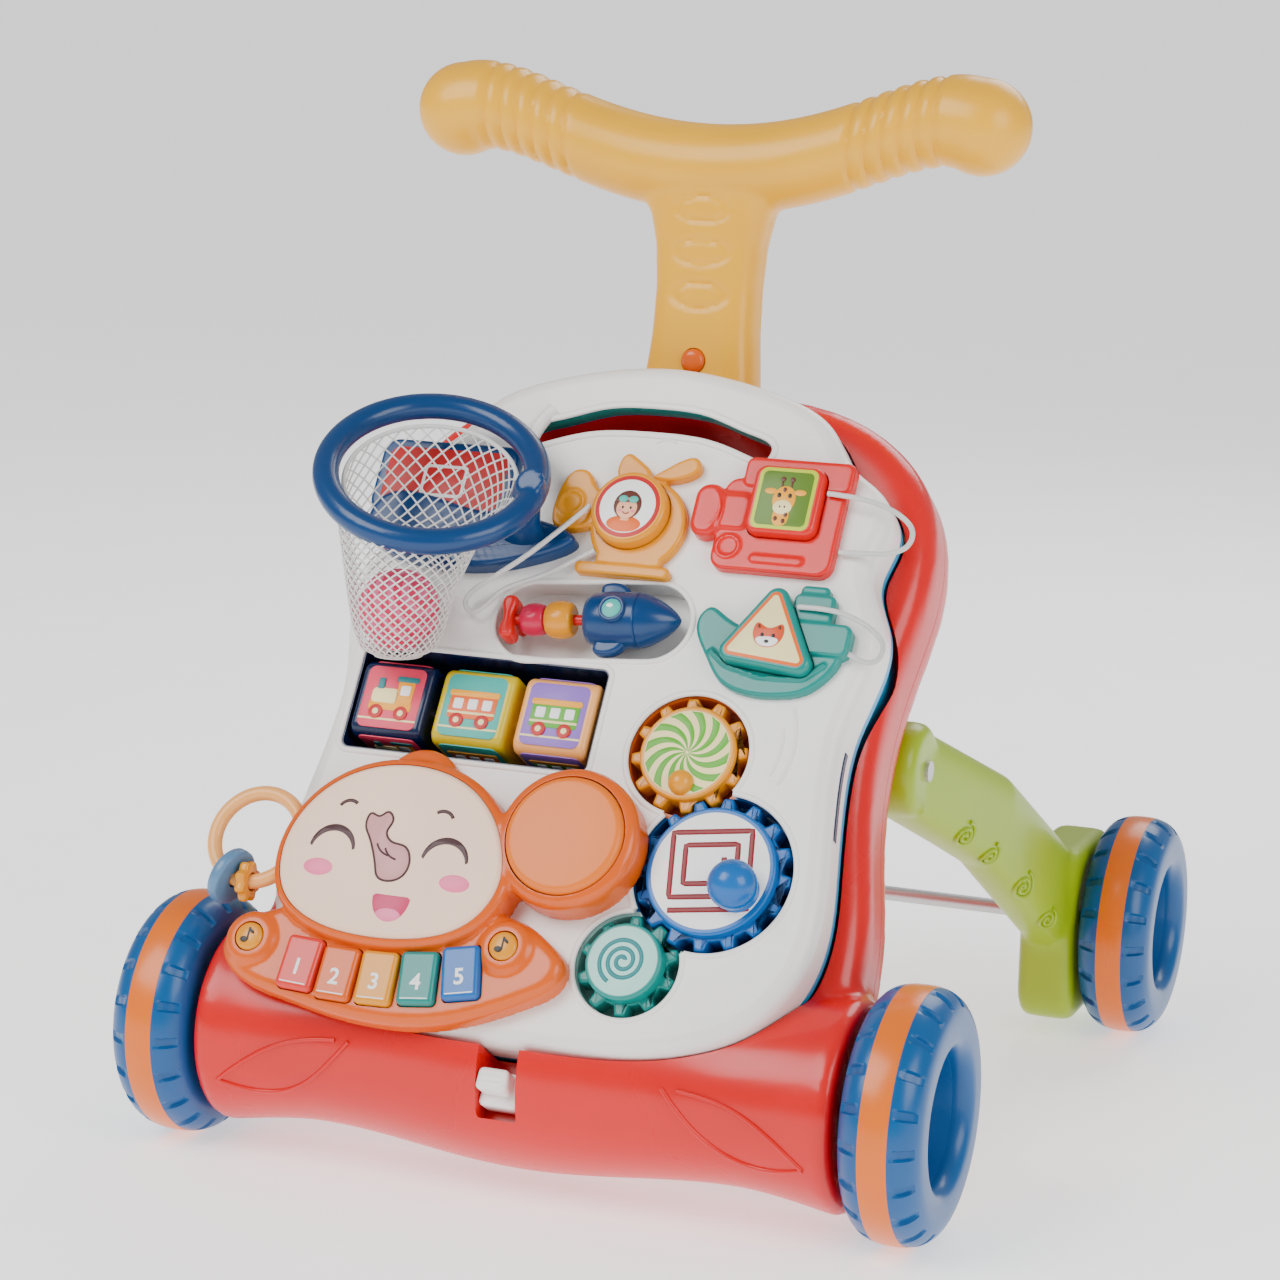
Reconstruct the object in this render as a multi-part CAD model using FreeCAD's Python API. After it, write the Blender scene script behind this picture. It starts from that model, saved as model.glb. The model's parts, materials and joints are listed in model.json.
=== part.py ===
import FreeCAD, Part
import os
from math import atan2, cos, degrees, hypot, pi, radians, sin, tan

# Baby walker: a wheeled frame with a leaning play panel, a T handle and two rear legs.
# Millimetres. X is across the walker, -Y is the panel side, +Y the child's side, Z is up.
# The origin is on the floor, midway between the two axles.

V = FreeCAD.Vector

# ---- driving dimensions -------------------------------------------------------------
wheel_radius = 58.0
wheel_width = 38.0
wheelbase = 359.0
front_track = 358.0
rear_track = 386.0
axle_radius = 4.0
panel_lean_deg = 33.0       # lean of the play panel from upright
panel_foot_drop = 48.8      # panel face origin ahead of the front axle
panel_foot_rise = 16.2      # panel face origin above the front axle
panel_shell_depth = 22.0
panel_depth = 48.0
panel_wall = 3.0
frame_wall = 3.5
frame_front_h = -27.0       # front face of the upright frame, measured from the panel face
frame_split_h = -57.0
frame_back_h = -74.0
recess_floor_h = -50.0
foot_flare_radius = 50.0
foot_waist_radius = 43.0
foot_middle_radius = 50.5
leg_thickness = 30.0
leg_depth = 46.0
leg_pivot_y = 139.5         # behind the front axle
leg_pivot_z = 181.0
pivot_rod_radius = 5.0
handle_top_z = 484.0
handle_back_y = 199.0       # grip ends, behind the front axle
handle_half_span = 136.0
button_rise = 291.8         # push button above the foot of the panel
grip_radius = 22.0
grip_end_radius = 23.7
column_width = 56.0
column_depth = 32.0
gear_module = 4.32
gear_thickness = 11.0
yellow_teeth = 12
blue_teeth = 16
teal_teeth = 10
block_size = 38.0
block_width = 37.0
block_pitch = 42.0
block_corner = 6.0
shaft_radius = 3.0
hoop_radius = 50.0
hoop_tube_radius = 6.3
ball_radius = 19.5
string_diameter = 2.5
key_width = 18.4
key_length = 25.4
button_radius = 7.0
rocket_rod_radius = 2.5
ear_ring_radius = 22.0
ear_ring_tube = 3.5

# ---- clearances ---------------------------------------------------------------------
running_fit = 0.05          # radial, a turning piece on its shaft
slip_gap = 0.3              # between pieces that slide past each other
body_gap = 0.6              # between moving bodies that never touch
dock_gap = 1.0              # between the play panel and its dock in the frame
tray_gap = 1.0              # between the turning blocks' corners and their tray

# ---- places worked out from the driving dimensions ------------------------------------
front_axle_y = -wheelbase / 2
rear_axle_y = wheelbase / 2
lean = radians(panel_lean_deg)
panel_origin = V(0, front_axle_y - panel_foot_drop, wheel_radius + panel_foot_rise)
panel_place = FreeCAD.Placement(panel_origin, FreeCAD.Rotation(V(1, 0, 0), 90 - panel_lean_deg))
# the front axle seen in the panel's own frame: along the slope, and above the face
axle_s = panel_foot_drop * sin(lean) - panel_foot_rise * cos(lean)
axle_h = -panel_foot_drop * cos(lean) - panel_foot_rise * sin(lean)
pivot_y = front_axle_y + leg_pivot_y

parts = {}


def keep(name, *shapes):
    """Stores the solids of one node after a validity test."""
    solids = []
    for shape in shapes:
        solids += shape.Solids
    for solid in solids:
        if not solid.isValid() or solid.Volume <= 0:
            raise RuntimeError(name + " is not a valid solid")
    parts[name] = solids[0] if len(solids) == 1 else Part.makeCompound(solids)


def lean_back(shape):
    """Moves a shape from the panel's frame (across, up the slope, out of the face) to its place."""
    moved = shape.copy()
    moved.Placement = panel_place.multiply(moved.Placement)
    return moved


def on_panel(x, s, h):
    return panel_place.multVec(V(x, s, h))


def loop(points, grow=0.0):
    """A closed smooth curve through the points, widened or narrowed, as a face."""
    curve = Part.BSplineCurve()
    curve.interpolate([V(x, y, 0) for x, y in points], PeriodicFlag=True)
    if grow:
        area = sum(a[0] * b[1] - b[0] * a[1] for a, b in zip(points, points[1:] + points[:1]))
        way = 1 if area > 0 else -1
        count = 4 * len(points)
        step = (curve.LastParameter - curve.FirstParameter) / count
        moved = []
        for k in range(count):
            at = curve.FirstParameter + k * step
            along = curve.tangent(at)[0]
            moved.append(curve.value(at) + V(along.y, -along.x, 0) * (way * grow))
        curve = Part.BSplineCurve()
        curve.interpolate(moved, PeriodicFlag=True)
    return Part.Face(Part.Wire(curve.toShape()))


def mirrored(right_half):
    """A list of points and its mirror image across x = 0, as one closed round."""
    left = [(-x, y) for x, y in reversed(right_half) if x > 0]
    return right_half + left


def grown(face, distance):
    return face.makeOffset2D(distance)


def slab(face, low, high):
    """A face in the panel's frame, extruded from one height to another."""
    moved = face.copy()
    moved.translate(V(0, 0, low))
    return moved.extrude(V(0, 0, high - low))


def disc(x, y, radius):
    return Part.Face(Part.Wire(Part.makeCircle(radius, V(x, y, 0))))


def rod(start, end, radius):
    return Part.makeCylinder(radius, (end - start).Length, start, end - start)


def box(x0, y0, z0, x1, y1, z1):
    return Part.makeBox(x1 - x0, y1 - y0, z1 - z0, V(x0, y0, z0))


def polygon(points):
    ring = [V(x, y, 0) for x, y in points]
    return Part.Face(Part.makePolygon(ring + [ring[0]]))


def rounded_box(x0, y0, z0, x1, y1, z1, radius, only=None):
    """A box with its long edges along one axis rounded, or all of them."""
    solid = box(x0, y0, z0, x1, y1, z1)
    edges = solid.Edges
    if only:
        edges = [e for e in edges if abs(e.tangentAt(e.FirstParameter).dot(only)) > 0.99]
    return solid.makeFillet(radius, edges)


def rounded_rectangle(x0, y0, x1, y1, radius):
    solid = rounded_box(x0, y0, 0, x1, y1, 1, radius, V(0, 0, 1))
    bottom = [f for f in solid.Faces if abs(f.CenterOfMass.z) < 1e-6][0]
    return Part.Face(bottom.OuterWire)


def top_edges(solid, height):
    """The edges of a solid that lie in one flat top face."""
    low = height - 1e-3
    return [e for e in solid.Edges if e.BoundBox.ZMin > low]


def soft_slab(face, low, high, radius):
    """A slab whose upper edge is rounded."""
    solid = slab(face, low, high)
    return solid.makeFillet(radius, top_edges(solid, high))


def turned(profile, center):
    """A closed (along x, radius) outline turned about the X axis through a centre."""
    wire = Part.makePolygon([V(x, 0, r) for x, r in profile + profile[:1]])
    solid = Part.Face(wire).revolve(V(0, 0, 0), V(1, 0, 0), 360)
    solid.translate(center)
    return solid


# ---- wheels and axles -------------------------------------------------------------------
wheel_half = wheel_width / 2
web_thickness = 8.0
recess_radius = 27.0
tyre_round = 12.0
hub_radius = 11.0
cap_radius = 8.0
cap_length = 7.0


def wheel_profile(side):
    """A fat tyre with a deep recess outside, a web inside and a hub bored for the axle."""
    half = wheel_half
    edge = wheel_radius - tyre_round
    bore = axle_radius + running_fit
    web_in = -half + 6.0
    web_out = web_in + web_thickness
    arc = [(half - tyre_round * (1 - cos(a)), edge + tyre_round * sin(a))
           for a in [radians(k) for k in (0, 30, 60, 90)]]
    other = [(-x, r) for x, r in reversed(arc)]
    profile = [(web_in, bore), (web_out + 3, bore), (web_out + 3, hub_radius), (web_out, hub_radius)]
    profile += [(web_out, recess_radius - 4), (web_out + 4, recess_radius), (half, recess_radius + 3)]
    profile += arc + other
    profile += [(-half, recess_radius + 3), (web_in, recess_radius)]
    return [(side * x, r) for x, r in profile]


def make_wheels():
    cap_start = -wheel_half + 6.0 + web_thickness + 3 + body_gap
    for end, track, y in (("front", front_track, front_axle_y), ("rear", rear_track, rear_axle_y)):
        caps = []
        for side_name, side in (("left", -1), ("right", 1)):
            center = V(side * track / 2, y, wheel_radius)
            keep(end + "_wheel_" + side_name, turned(wheel_profile(side), center))
            start = V(side * (track / 2 + cap_start), y, wheel_radius)
            caps.append(rod(start, start + V(side * cap_length, 0, 0), cap_radius))
        reach = track / 2 + cap_start + cap_length - 3.0
        axle = rod(V(-reach, y, wheel_radius), V(reach, y, wheel_radius), axle_radius)
        keep(end + "_axle", axle)
        keep(end + "_axle_caps", *[cap.cut(axle) for cap in caps])


# ---- outlines in the panel's frame (across, up the slope) ---------------------------------
panel_half_outline = [(0, 5), (60, 8), (88, 15), (108, 25), (121, 38), (131, 58), (134, 82),
                      (131, 112), (127, 145), (127, 175), (133, 205), (132, 228), (123, 252),
                      (127, 276), (119, 292), (103, 304), (88, 324), (61, 339), (30, 347), (0, 350)]
frame_half_outline = [(0, 0), (110, 0), (146, 12), (149, 40), (147, 90), (138, 135), (134, 170),
                      (136, 215), (141, 255), (139, 285), (128, 313), (107, 334), (77, 348), (40, 354),
                      (0, 356)]
slot_outline = [(0, 311), (30, 309), (52, 302), (61, 301), (64, 308), (50, 317), (26, 325), (0, 327)]


def tube_profile(shrink, end_x):
    """The frame's foot: a tube along X, flared at both ends and full in the middle."""
    top = []
    steps = 24
    for k in range(steps + 1):
        x = -end_x + 2 * end_x * k / steps
        waist = foot_waist_radius
        if abs(x) > 105:
            lift = (abs(x) - 105) / (end_x - 105)
            radius = waist + (foot_flare_radius - waist) * lift ** 1.5
        else:
            radius = waist + (foot_middle_radius - waist) * (0.5 + 0.5 * cos(pi * x / 105))
        top.append(V(x, 0, radius - shrink))
    curve = Part.BSplineCurve()
    curve.interpolate(top)
    ends = [V(end_x, 0, 0), V(-end_x, 0, 0)]
    edges = [curve.toShape(), Part.makeLine(top[-1], ends[0]), Part.makeLine(ends[0], ends[1]),
             Part.makeLine(ends[1], top[0])]
    return Part.Face(Part.Wire(edges))


foot_end_x = front_track / 2 - wheel_half - 3.5


def foot_tube(shrink, end_x):
    solid = tube_profile(shrink, end_x).revolve(V(0, 0, 0), V(1, 0, 0), 360)
    solid.translate(V(0, axle_s, axle_h))
    return solid


latch_half_width = 9.5
latch_low_s = -20.0
latch_high_s = 2.0
latch_front_h = -3.5
latch_back_h = -24.0
latch_travel = 5.0


def latch_window():
    gap = slip_gap
    return box(-latch_half_width - gap, latch_low_s - latch_travel - gap, latch_back_h - 2 - gap,
               latch_half_width + gap, latch_high_s + 8, 10)


socket_low_s = 285.0
socket_front_h = -55.0
spigot_half_width = 23.0
spigot_back_h = -69.5


def make_frame():
    """Front and back frame shells around a hollow, with the dock for the play panel."""
    edge = mirrored(frame_half_outline)
    outline = loop(edge)
    dock_edge = mirrored(panel_half_outline)
    dock = loop(dock_edge, dock_gap)
    inner = loop(edge, -frame_wall)
    hollow_tube = foot_tube(frame_wall, foot_end_x - frame_wall)
    outer = slab(outline, frame_back_h, frame_front_h).fuse(foot_tube(0, foot_end_x))
    dock_shell = slab(loop(dock_edge, dock_gap + frame_wall), recess_floor_h - frame_wall, 30)
    cavity = slab(inner, frame_back_h + frame_wall, frame_front_h - frame_wall).fuse(hollow_tube)
    cavity = cavity.cut(dock_shell)
    socket_wall = box(-spigot_half_width - 4, socket_low_s, frame_back_h, spigot_half_width + 4, 370,
                      frame_front_h).common(slab(inner, frame_back_h, frame_front_h))
    cavity = cavity.cut(socket_wall)
    body = outer.cut(cavity).cut(slab(dock, recess_floor_h, 30)).cut(latch_window())
    body = body.cut(spigot(slip_gap))
    body = body.cut(axle_line(axle_radius + running_fit))
    front_side = box(-300, -200, frame_split_h, 300, 500, 200)
    back_side = box(-300, -200, -200, 300, 500, frame_split_h)
    front = body.common(front_side)
    back = body.common(back_side)
    keep("frame_front_shell", lean_back(biggest(front)))
    keep("frame_back_shell", lean_back(biggest(back)).fuse(pivot_lugs()).removeSplitter())


def biggest(shape):
    return sorted(shape.Solids, key=lambda s: s.Volume)[-1]


lug_inner_x = 96.0
lug_width = 12.0
lug_radius = 15.0


def pivot_lugs():
    """Two pairs of ears behind the frame that carry the rod the legs swing on."""
    lugs = []
    bore = rod(V(-200, pivot_y, leg_pivot_z), V(200, pivot_y, leg_pivot_z), pivot_rod_radius + running_fit)
    root = on_panel(0, 0, frame_back_h) - on_panel(0, 0, 0)
    for side in (-1, 1):
        x = side * lug_inner_x
        low = min(x, x + side * lug_width)
        eye = rod(V(low, pivot_y, leg_pivot_z), V(low + lug_width, pivot_y, leg_pivot_z), lug_radius)
        back = root * (1.0 / root.Length)
        base = V(low, pivot_y, leg_pivot_z) - back * (lug_radius * 1.6)
        along = V(0, sin(lean), cos(lean)) * lug_radius
        ring = [base - along, base + along, V(low, pivot_y, leg_pivot_z) + along,
                V(low, pivot_y, leg_pivot_z) - along]
        ear = Part.Face(Part.makePolygon(ring + ring[:1])).extrude(V(lug_width, 0, 0))
        lugs.append(eye.fuse(ear).cut(bore))
    lug = lugs[0].fuse(lugs[1:])
    keep_out = lean_back(box(-300, -100, frame_back_h, 300, 500, 100))
    return lug.cut(keep_out)


# ---- rear legs --------------------------------------------------------------------------
leg_top_x = lug_inner_x + lug_width + body_gap + leg_thickness / 2
leg_foot_x = rear_track / 2 - wheel_half - 2.0 - leg_thickness / 2
boss_height = 94.0
boss_length = 84.0
boss_round = 16.0


def leg_section(center, direction, depth, thickness):
    """A rounded section of a leg, square to its direction in the side view."""
    across = V(1, 0, 0)
    up = across.cross(direction)
    up.normalize()
    half_t = thickness / 2
    half_d = depth / 2
    points = []
    for k in range(12):
        a = 2 * pi * k / 12
        ca = cos(a)
        sa = sin(a)
        px = half_t * (abs(ca) ** 0.7) * (1 if ca >= 0 else -1)
        pd = half_d * (abs(sa) ** 0.7) * (1 if sa >= 0 else -1)
        points.append(center + across * px + up * pd)
    curve = Part.BSplineCurve()
    curve.interpolate(points, PeriodicFlag=True)
    return Part.Wire(curve.toShape())


def make_legs():
    for name, side in (("leg_left", -1), ("leg_right", 1)):
        top = V(side * leg_top_x, pivot_y, leg_pivot_z)
        foot = V(side * leg_foot_x, rear_axle_y - 30, wheel_radius + 14)
        run = foot - top
        middle = top + run * 0.45 + V(side * 4, 6, 6)
        start = top + V(0, run.y, run.z) * 0.03
        sections = [leg_section(start, run, leg_depth, leg_thickness),
                    leg_section(middle, run, leg_depth + 2, leg_thickness),
                    leg_section(foot, run, leg_depth + 8, leg_thickness)]
        arm = Part.makeLoft(sections, True, False)
        half = leg_thickness / 2
        eye = rod(top - V(half, 0, 0), top + V(half, 0, 0), leg_depth / 2)
        boss = rounded_box(foot.x - half, rear_axle_y - boss_length * 0.6, 10,
                           foot.x + half, rear_axle_y + boss_length * 0.4, 10 + boss_height,
                           boss_round, V(1, 0, 0))
        leg = arm.fuse([eye, boss])
        pin = rod(V(-300, pivot_y, leg_pivot_z), V(300, pivot_y, leg_pivot_z),
                  pivot_rod_radius + running_fit)
        axle = rod(V(-300, rear_axle_y, wheel_radius), V(300, rear_axle_y, wheel_radius),
                   axle_radius + running_fit)
        leg = leg.cut(pin).cut(axle)
        keep(name, biggest(leg))
    reach = leg_top_x + leg_thickness / 2 + 2.0
    keep("leg_pivot_rod", rod(V(-reach, pivot_y, leg_pivot_z), V(reach, pivot_y, leg_pivot_z),
                              pivot_rod_radius))


def make_screws():
    """Six countersunk-looking screws that close the frame from behind."""
    screws = []
    for x, s in ((-100, 60), (100, 60), (-112, 150), (112, 150), (-112, 262), (112, 262)):
        head = Part.makeCylinder(4.0, 2.5, V(x, s, frame_back_h - 2.5))
        screws.append(lean_back(head))
    keep("frame_screws", *screws)


# ---- handle ---------------------------------------------------------------------------
column_base = V(0, front_axle_y + 175, 352)
column_waist = V(0, front_axle_y + 184, 400)
column_neck = V(0, front_axle_y + 193, 440)
button_z = panel_origin.z + button_rise
handle_button_radius = 6.0


def spigot(gap):
    """The stem that drops into the frame's socket, in the panel's frame."""
    return box(-spigot_half_width - gap, socket_low_s + 4 - gap, spigot_back_h - gap,
               spigot_half_width + gap, 372, socket_front_h + gap)


def grip_curve():
    """The gull-wing line through both grips, dipping in the middle."""
    y = front_axle_y + handle_back_y
    z = handle_top_z
    points = [V(-handle_half_span, y, z), V(-88, y, z - 6), V(-44, y + 2, z - 20), V(0, y + 3, z - 25),
              V(44, y + 2, z - 20), V(88, y, z - 6), V(handle_half_span, y, z)]
    curve = Part.BSplineCurve()
    curve.interpolate(points)
    return curve.toShape()


def grip_bar(shrink):
    path = grip_curve()
    start = path.valueAt(path.FirstParameter)
    along = path.tangentAt(path.FirstParameter)
    circle = Part.Wire(Part.makeCircle(grip_radius - shrink, start, along))
    bar = Part.Wire(path).makePipeShell([circle], True, False)
    ends = [Part.makeSphere(grip_end_radius - shrink, path.valueAt(p))
            for p in (path.FirstParameter, path.LastParameter)]
    return bar.fuse(ends)


def column_section(center, width, depth, shrink):
    half_w = width / 2 - shrink
    half_d = depth / 2 - shrink
    points = []
    for k in range(16):
        a = 2 * pi * k / 16
        ca = cos(a)
        sa = sin(a)
        px = half_w * (abs(ca) ** 0.55) * (1 if ca >= 0 else -1)
        py = half_d * (abs(sa) ** 0.55) * (1 if sa >= 0 else -1)
        points.append(center + V(px, py, 0))
    curve = Part.BSplineCurve()
    curve.interpolate(points, PeriodicFlag=True)
    return Part.Wire(curve.toShape())


def column(shrink):
    w = column_width
    d = column_depth
    top = V(0, front_axle_y + handle_back_y + 2, handle_top_z - 22)
    rows = [(column_base + V(0, 14, 0), w + 2, d), (column_waist + V(0, 12, 0), w - 4, d),
            (column_neck + V(0, 6, 0), w + 6, d + 2), (top, w + 46, d)]
    sections = [column_section(c, a, b, shrink) for c, a, b in rows]
    return Part.makeLoft(sections, True, False)


def make_handle():
    wall = 3.5
    outer = grip_bar(0).fuse(column(0))
    inner = grip_bar(wall).fuse(column(wall))
    stem = lean_back(spigot(0))
    frame_zone = lean_back(box(-300, -100, -200, 300, 357, 100))
    solid = outer.cut(frame_zone).cut(inner).fuse(stem.cut(inner.cut(frame_zone)))
    hole = rod(V(0, -300, button_z), V(0, front_axle_y + 190, button_z), handle_button_radius + slip_gap)
    solid = solid.cut(hole)
    split_y = front_axle_y + 190
    front_half = box(-300, -600, 0, 300, split_y, 900)
    rear_half = box(-300, split_y, 0, 300, 600, 900)
    keep("handle_front_shell", biggest(solid.common(front_half)))
    keep("handle_rear_shell", biggest(solid.common(rear_half)))
    button_front = front_axle_y + 173 - 3
    button = rod(V(0, button_front, button_z), V(0, button_front + 12, button_z), handle_button_radius)
    keep("handle_button", button)


# ---- play panel shells --------------------------------------------------------------------
bulge_inset = 4.0
shaft_s = 163.0
shaft_h = -17.0
tray_wall = 1.5
block_reach = hypot(block_size / 2 - block_corner, block_size / 2 - block_corner) + block_corner
tray_half = block_reach + tray_gap + tray_wall
tray_box = (-118.0, shaft_s - tray_half, 10.0, shaft_s + tray_half)
gear_rest_h = -1.0
gear_centers = {"yellow": (56.4, 152.0), "blue": (81.0, 96.7), "teal": (50.8, 49.3)}
gear_teeth = {"yellow": yellow_teeth, "blue": blue_teeth, "teal": teal_teeth}
gear_addendum = 0.51 * gear_module
gear_dedendum = 0.67 * gear_module
pocket_gap = 2.2
pocket_floor_h = gear_rest_h - gear_thickness - 3.0
post_radius = 4.0
rocket_tilt = radians(5.0)
rocket_mid = (0.0, 213.5)
rocket_h = 0.0
rocket_recess_h = -14.5


def pitch_radius(name):
    return gear_module * gear_teeth[name] / 2


def gear_place(name):
    """Gear centres: the blue gear is fixed, the others sit at their meshing distance from it."""
    bx, bs = gear_centers["blue"]
    if name == "blue":
        return bx, bs
    x, s = gear_centers[name]
    angle = atan2(s - bs, x - bx)
    reach = pitch_radius("blue") + pitch_radius(name)
    return bx + reach * cos(angle), bs + reach * sin(angle)


def pocket_face(name, extra):
    x, s = gear_place(name)
    return disc(x, s, pitch_radius(name) + gear_addendum + pocket_gap + extra)


def rocket_recess_face(grow):
    """A slightly tilted oblong in which the rocket lies."""
    half = 29.5
    radius = 20.0 + grow
    dx = half * cos(rocket_tilt)
    ds = half * sin(rocket_tilt)
    x = rocket_mid[0] - 6.0
    s = rocket_mid[1] - 1.0
    solid = disc(x - dx, s - ds, radius).fuse(disc(x + dx, s + ds, radius))
    nx = -sin(rocket_tilt) * radius
    ns = cos(rocket_tilt) * radius
    bar = polygon([(x - dx + nx, s - ds + ns), (x - dx - nx, s - ds - ns),
                   (x + dx - nx, s + ds - ns), (x + dx + nx, s + ds + ns)])
    return slab(solid, 0, 1).fuse(slab(bar, 0, 1)).removeSplitter()


def recess_solid(grow, low, high):
    solid = rocket_recess_face(grow)
    scale = FreeCAD.Matrix()
    scale.scale(V(1, 1, high - low))
    solid = solid.transformGeometry(scale)
    solid.translate(V(0, 0, low))
    return solid


def slot_face(grow):
    return loop(mirrored(slot_outline), grow)


def tray_face(grow):
    x0, s0, x1, s1 = tray_box
    return rounded_rectangle(x0 - grow, s0 - grow, x1 + grow, s1 + grow, 5.0 + grow)


def axle_line(radius):
    """A bar along the front axle, in the panel's frame."""
    return rod(V(-200, axle_s, axle_h), V(200, axle_s, axle_h), radius)


def make_panel_shells():
    edge = mirrored(panel_half_outline)
    outline = loop(edge)
    wall = panel_wall
    depth = panel_shell_depth
    front = soft_slab(outline, -depth, 0, 8.0)
    front = front.cut(slab(loop(edge, -wall - 0.5), -depth, -wall - 0.5))
    floor = recess_solid(wall, rocket_recess_h - wall, -wall)
    front = front.fuse(floor).cut(recess_solid(0, rocket_recess_h, 5))
    for name in gear_centers:
        front = front.cut(slab(pocket_face(name, 0), -40, 10))
    front = front.cut(slab(tray_face(0), -60, 10))
    front = front.cut(slab(slot_face(0), -60, 10))
    keep("panel_front_shell", lean_back(biggest(front)))

    back = slab(outline, -depth - 4, -depth).fuse(slab(loop(edge, -bulge_inset), -panel_depth, -depth - 4))
    back = back.cut(slab(loop(edge, -bulge_inset - wall), -panel_depth + wall, -depth))
    lip = slab(slot_face(2.2), -panel_depth, -wall - 0.7)
    back = back.fuse(lip).cut(slab(slot_face(0), -60, 10))
    saddle = axle_radius + dock_gap
    inside = slab(loop(edge, -bulge_inset), -panel_depth, -depth - 4)
    back = back.fuse(axle_line(saddle + wall).common(inside)).cut(axle_line(saddle))
    door = battery_door_face(slip_gap)
    back = back.cut(slab(door, -panel_depth - 1, -panel_depth + wall + 1))
    keep("panel_back_shell", lean_back(biggest(back)))


def make_gear_pockets():
    """Coloured liners under the gears, each with the post its gear turns on."""
    wall = 1.5
    liners = slab(pocket_face("yellow", 0), pocket_floor_h - wall, -panel_wall - 1.0)
    for name in ("blue", "teal"):
        liners = liners.fuse(slab(pocket_face(name, 0), pocket_floor_h - wall, -panel_wall - 1.0))
    for name in gear_centers:
        liners = liners.cut(slab(pocket_face(name, -wall), pocket_floor_h, 10))
    for name in gear_centers:
        x, s = gear_place(name)
        post = Part.makeCylinder(post_radius, gear_rest_h - pocket_floor_h, V(x, s, pocket_floor_h))
        liners = liners.fuse(post)
    keep("gear_pockets", lean_back(liners.removeSplitter()))


def battery_door_face(grow):
    return rounded_rectangle(-60 - grow, 208 - grow, 50 + grow, 262 + grow, 4.0 + grow)


def make_inside_pieces():
    door = slab(battery_door_face(0), -panel_depth, -panel_depth + panel_wall)
    keep("battery_door", lean_back(door))
    board = box(-105, 30, -12, -25, 88, -10.4)
    speaker = Part.makeCylinder(18, 8, V(-70, 110, -24)).fuse(Part.makeCylinder(11, 9, V(-70, 110, -33)))
    keep("sound_module", lean_back(board), lean_back(speaker))


# ---- gears ------------------------------------------------------------------------------
def gear_face(name, phase):
    """Low rounded teeth on a pitch circle; phase is the direction of one tooth."""
    teeth = gear_teeth[name]
    pitch = pitch_radius(name)
    root = pitch - gear_dedendum
    tip = pitch + gear_addendum
    step = 2 * pi / teeth
    points = []
    for k in range(teeth):
        a = phase + k * step
        for radius, share in ((root, -0.29), (pitch, -0.20), (tip, -0.11),
                              (tip, 0.11), (pitch, 0.20), (root, 0.29)):
            points.append((radius * cos(a + share * step), radius * sin(a + share * step)))
    return polygon(points)


def gear_phase(name):
    """A blue tooth points at the yellow gear's gap; the teal gear takes the phase it meets."""
    bx, bs = gear_place("blue")
    yx, ys = gear_place("yellow")
    toward_yellow = atan2(ys - bs, yx - bx)
    if name == "blue":
        return toward_yellow
    x, s = gear_place(name)
    toward = atan2(s - bs, x - bx)
    blue_step = 2 * pi / blue_teeth
    turns = (toward_yellow - toward) / blue_step
    offset = (turns - round(turns)) * blue_step
    gap = toward + pi - offset * pitch_radius("blue") / pitch_radius(name)
    return gap + pi / gear_teeth[name]


def make_gears():
    bottom = gear_rest_h - gear_thickness
    discs = {"yellow": (23.0, 2.0), "blue": (30.5, 4.0), "teal": (18.0, 6.0)}
    for name in gear_centers:
        x, s = gear_place(name)
        radius, top = discs[name]
        gear = slab(gear_face(name, gear_phase(name)), bottom, gear_rest_h)
        gear = gear.fuse(Part.makeCylinder(radius, top - gear_rest_h, V(0, 0, gear_rest_h)))
        bore = post_radius + running_fit
        gear = gear.cut(Part.makeCylinder(bore, gear_rest_h - bottom + 1.0, V(0, 0, bottom)))
        if name == "blue":
            stem = Part.makeCylinder(9.0, 6.0, V(15, -8, top))
            ball = Part.makeSphere(11.5, V(15, -8, top + 9.0))
            gear = gear.fuse(stem).fuse(ball)
        if name == "yellow":
            gear = gear.fuse(Part.makeSphere(6.0, V(0.6, -15.0, top + 0.5)))
        gear.translate(V(x, s, 0))
        keep(name + "_gear", lean_back(biggest(gear.removeSplitter())))


# ---- turning picture blocks -----------------------------------------------------------------
def make_block_tray():
    tray_depth = shaft_h - block_reach - tray_gap
    tray = slab(tray_face(0), tray_depth - tray_wall, -0.5)
    tray = tray.cut(slab(tray_face(-tray_wall), tray_depth, 5))
    x0 = tray_box[0] + tray_wall
    x1 = tray_box[2] - tray_wall
    shaft = rod(V(x0, shaft_s, shaft_h), V(x1, shaft_s, shaft_h), shaft_radius)
    keep("block_tray", lean_back(tray))
    keep("block_shaft", lean_back(shaft))
    middle = (x0 + x1) / 2
    bore = rod(V(x0, shaft_s, shaft_h), V(x1, shaft_s, shaft_h), shaft_radius + running_fit)
    half = block_size / 2
    for k in range(3):
        x = middle + (k - 1) * block_pitch
        block = rounded_box(x - block_width / 2, shaft_s - half, shaft_h - half,
                            x + block_width / 2, shaft_s + half, shaft_h + half,
                            block_corner, V(1, 0, 0))
        keep("train_block_" + str(k + 1), lean_back(block.cut(bore)))


# ---- rocket with two beads ------------------------------------------------------------------
def along_rocket(distance, h=rocket_h):
    return V(rocket_mid[0] + distance * cos(rocket_tilt), rocket_mid[1] + distance * sin(rocket_tilt), h)


rod_start = -43.0
rocket_start = -8.0
rocket_end = 37.0
bead_length = 13.5


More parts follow.
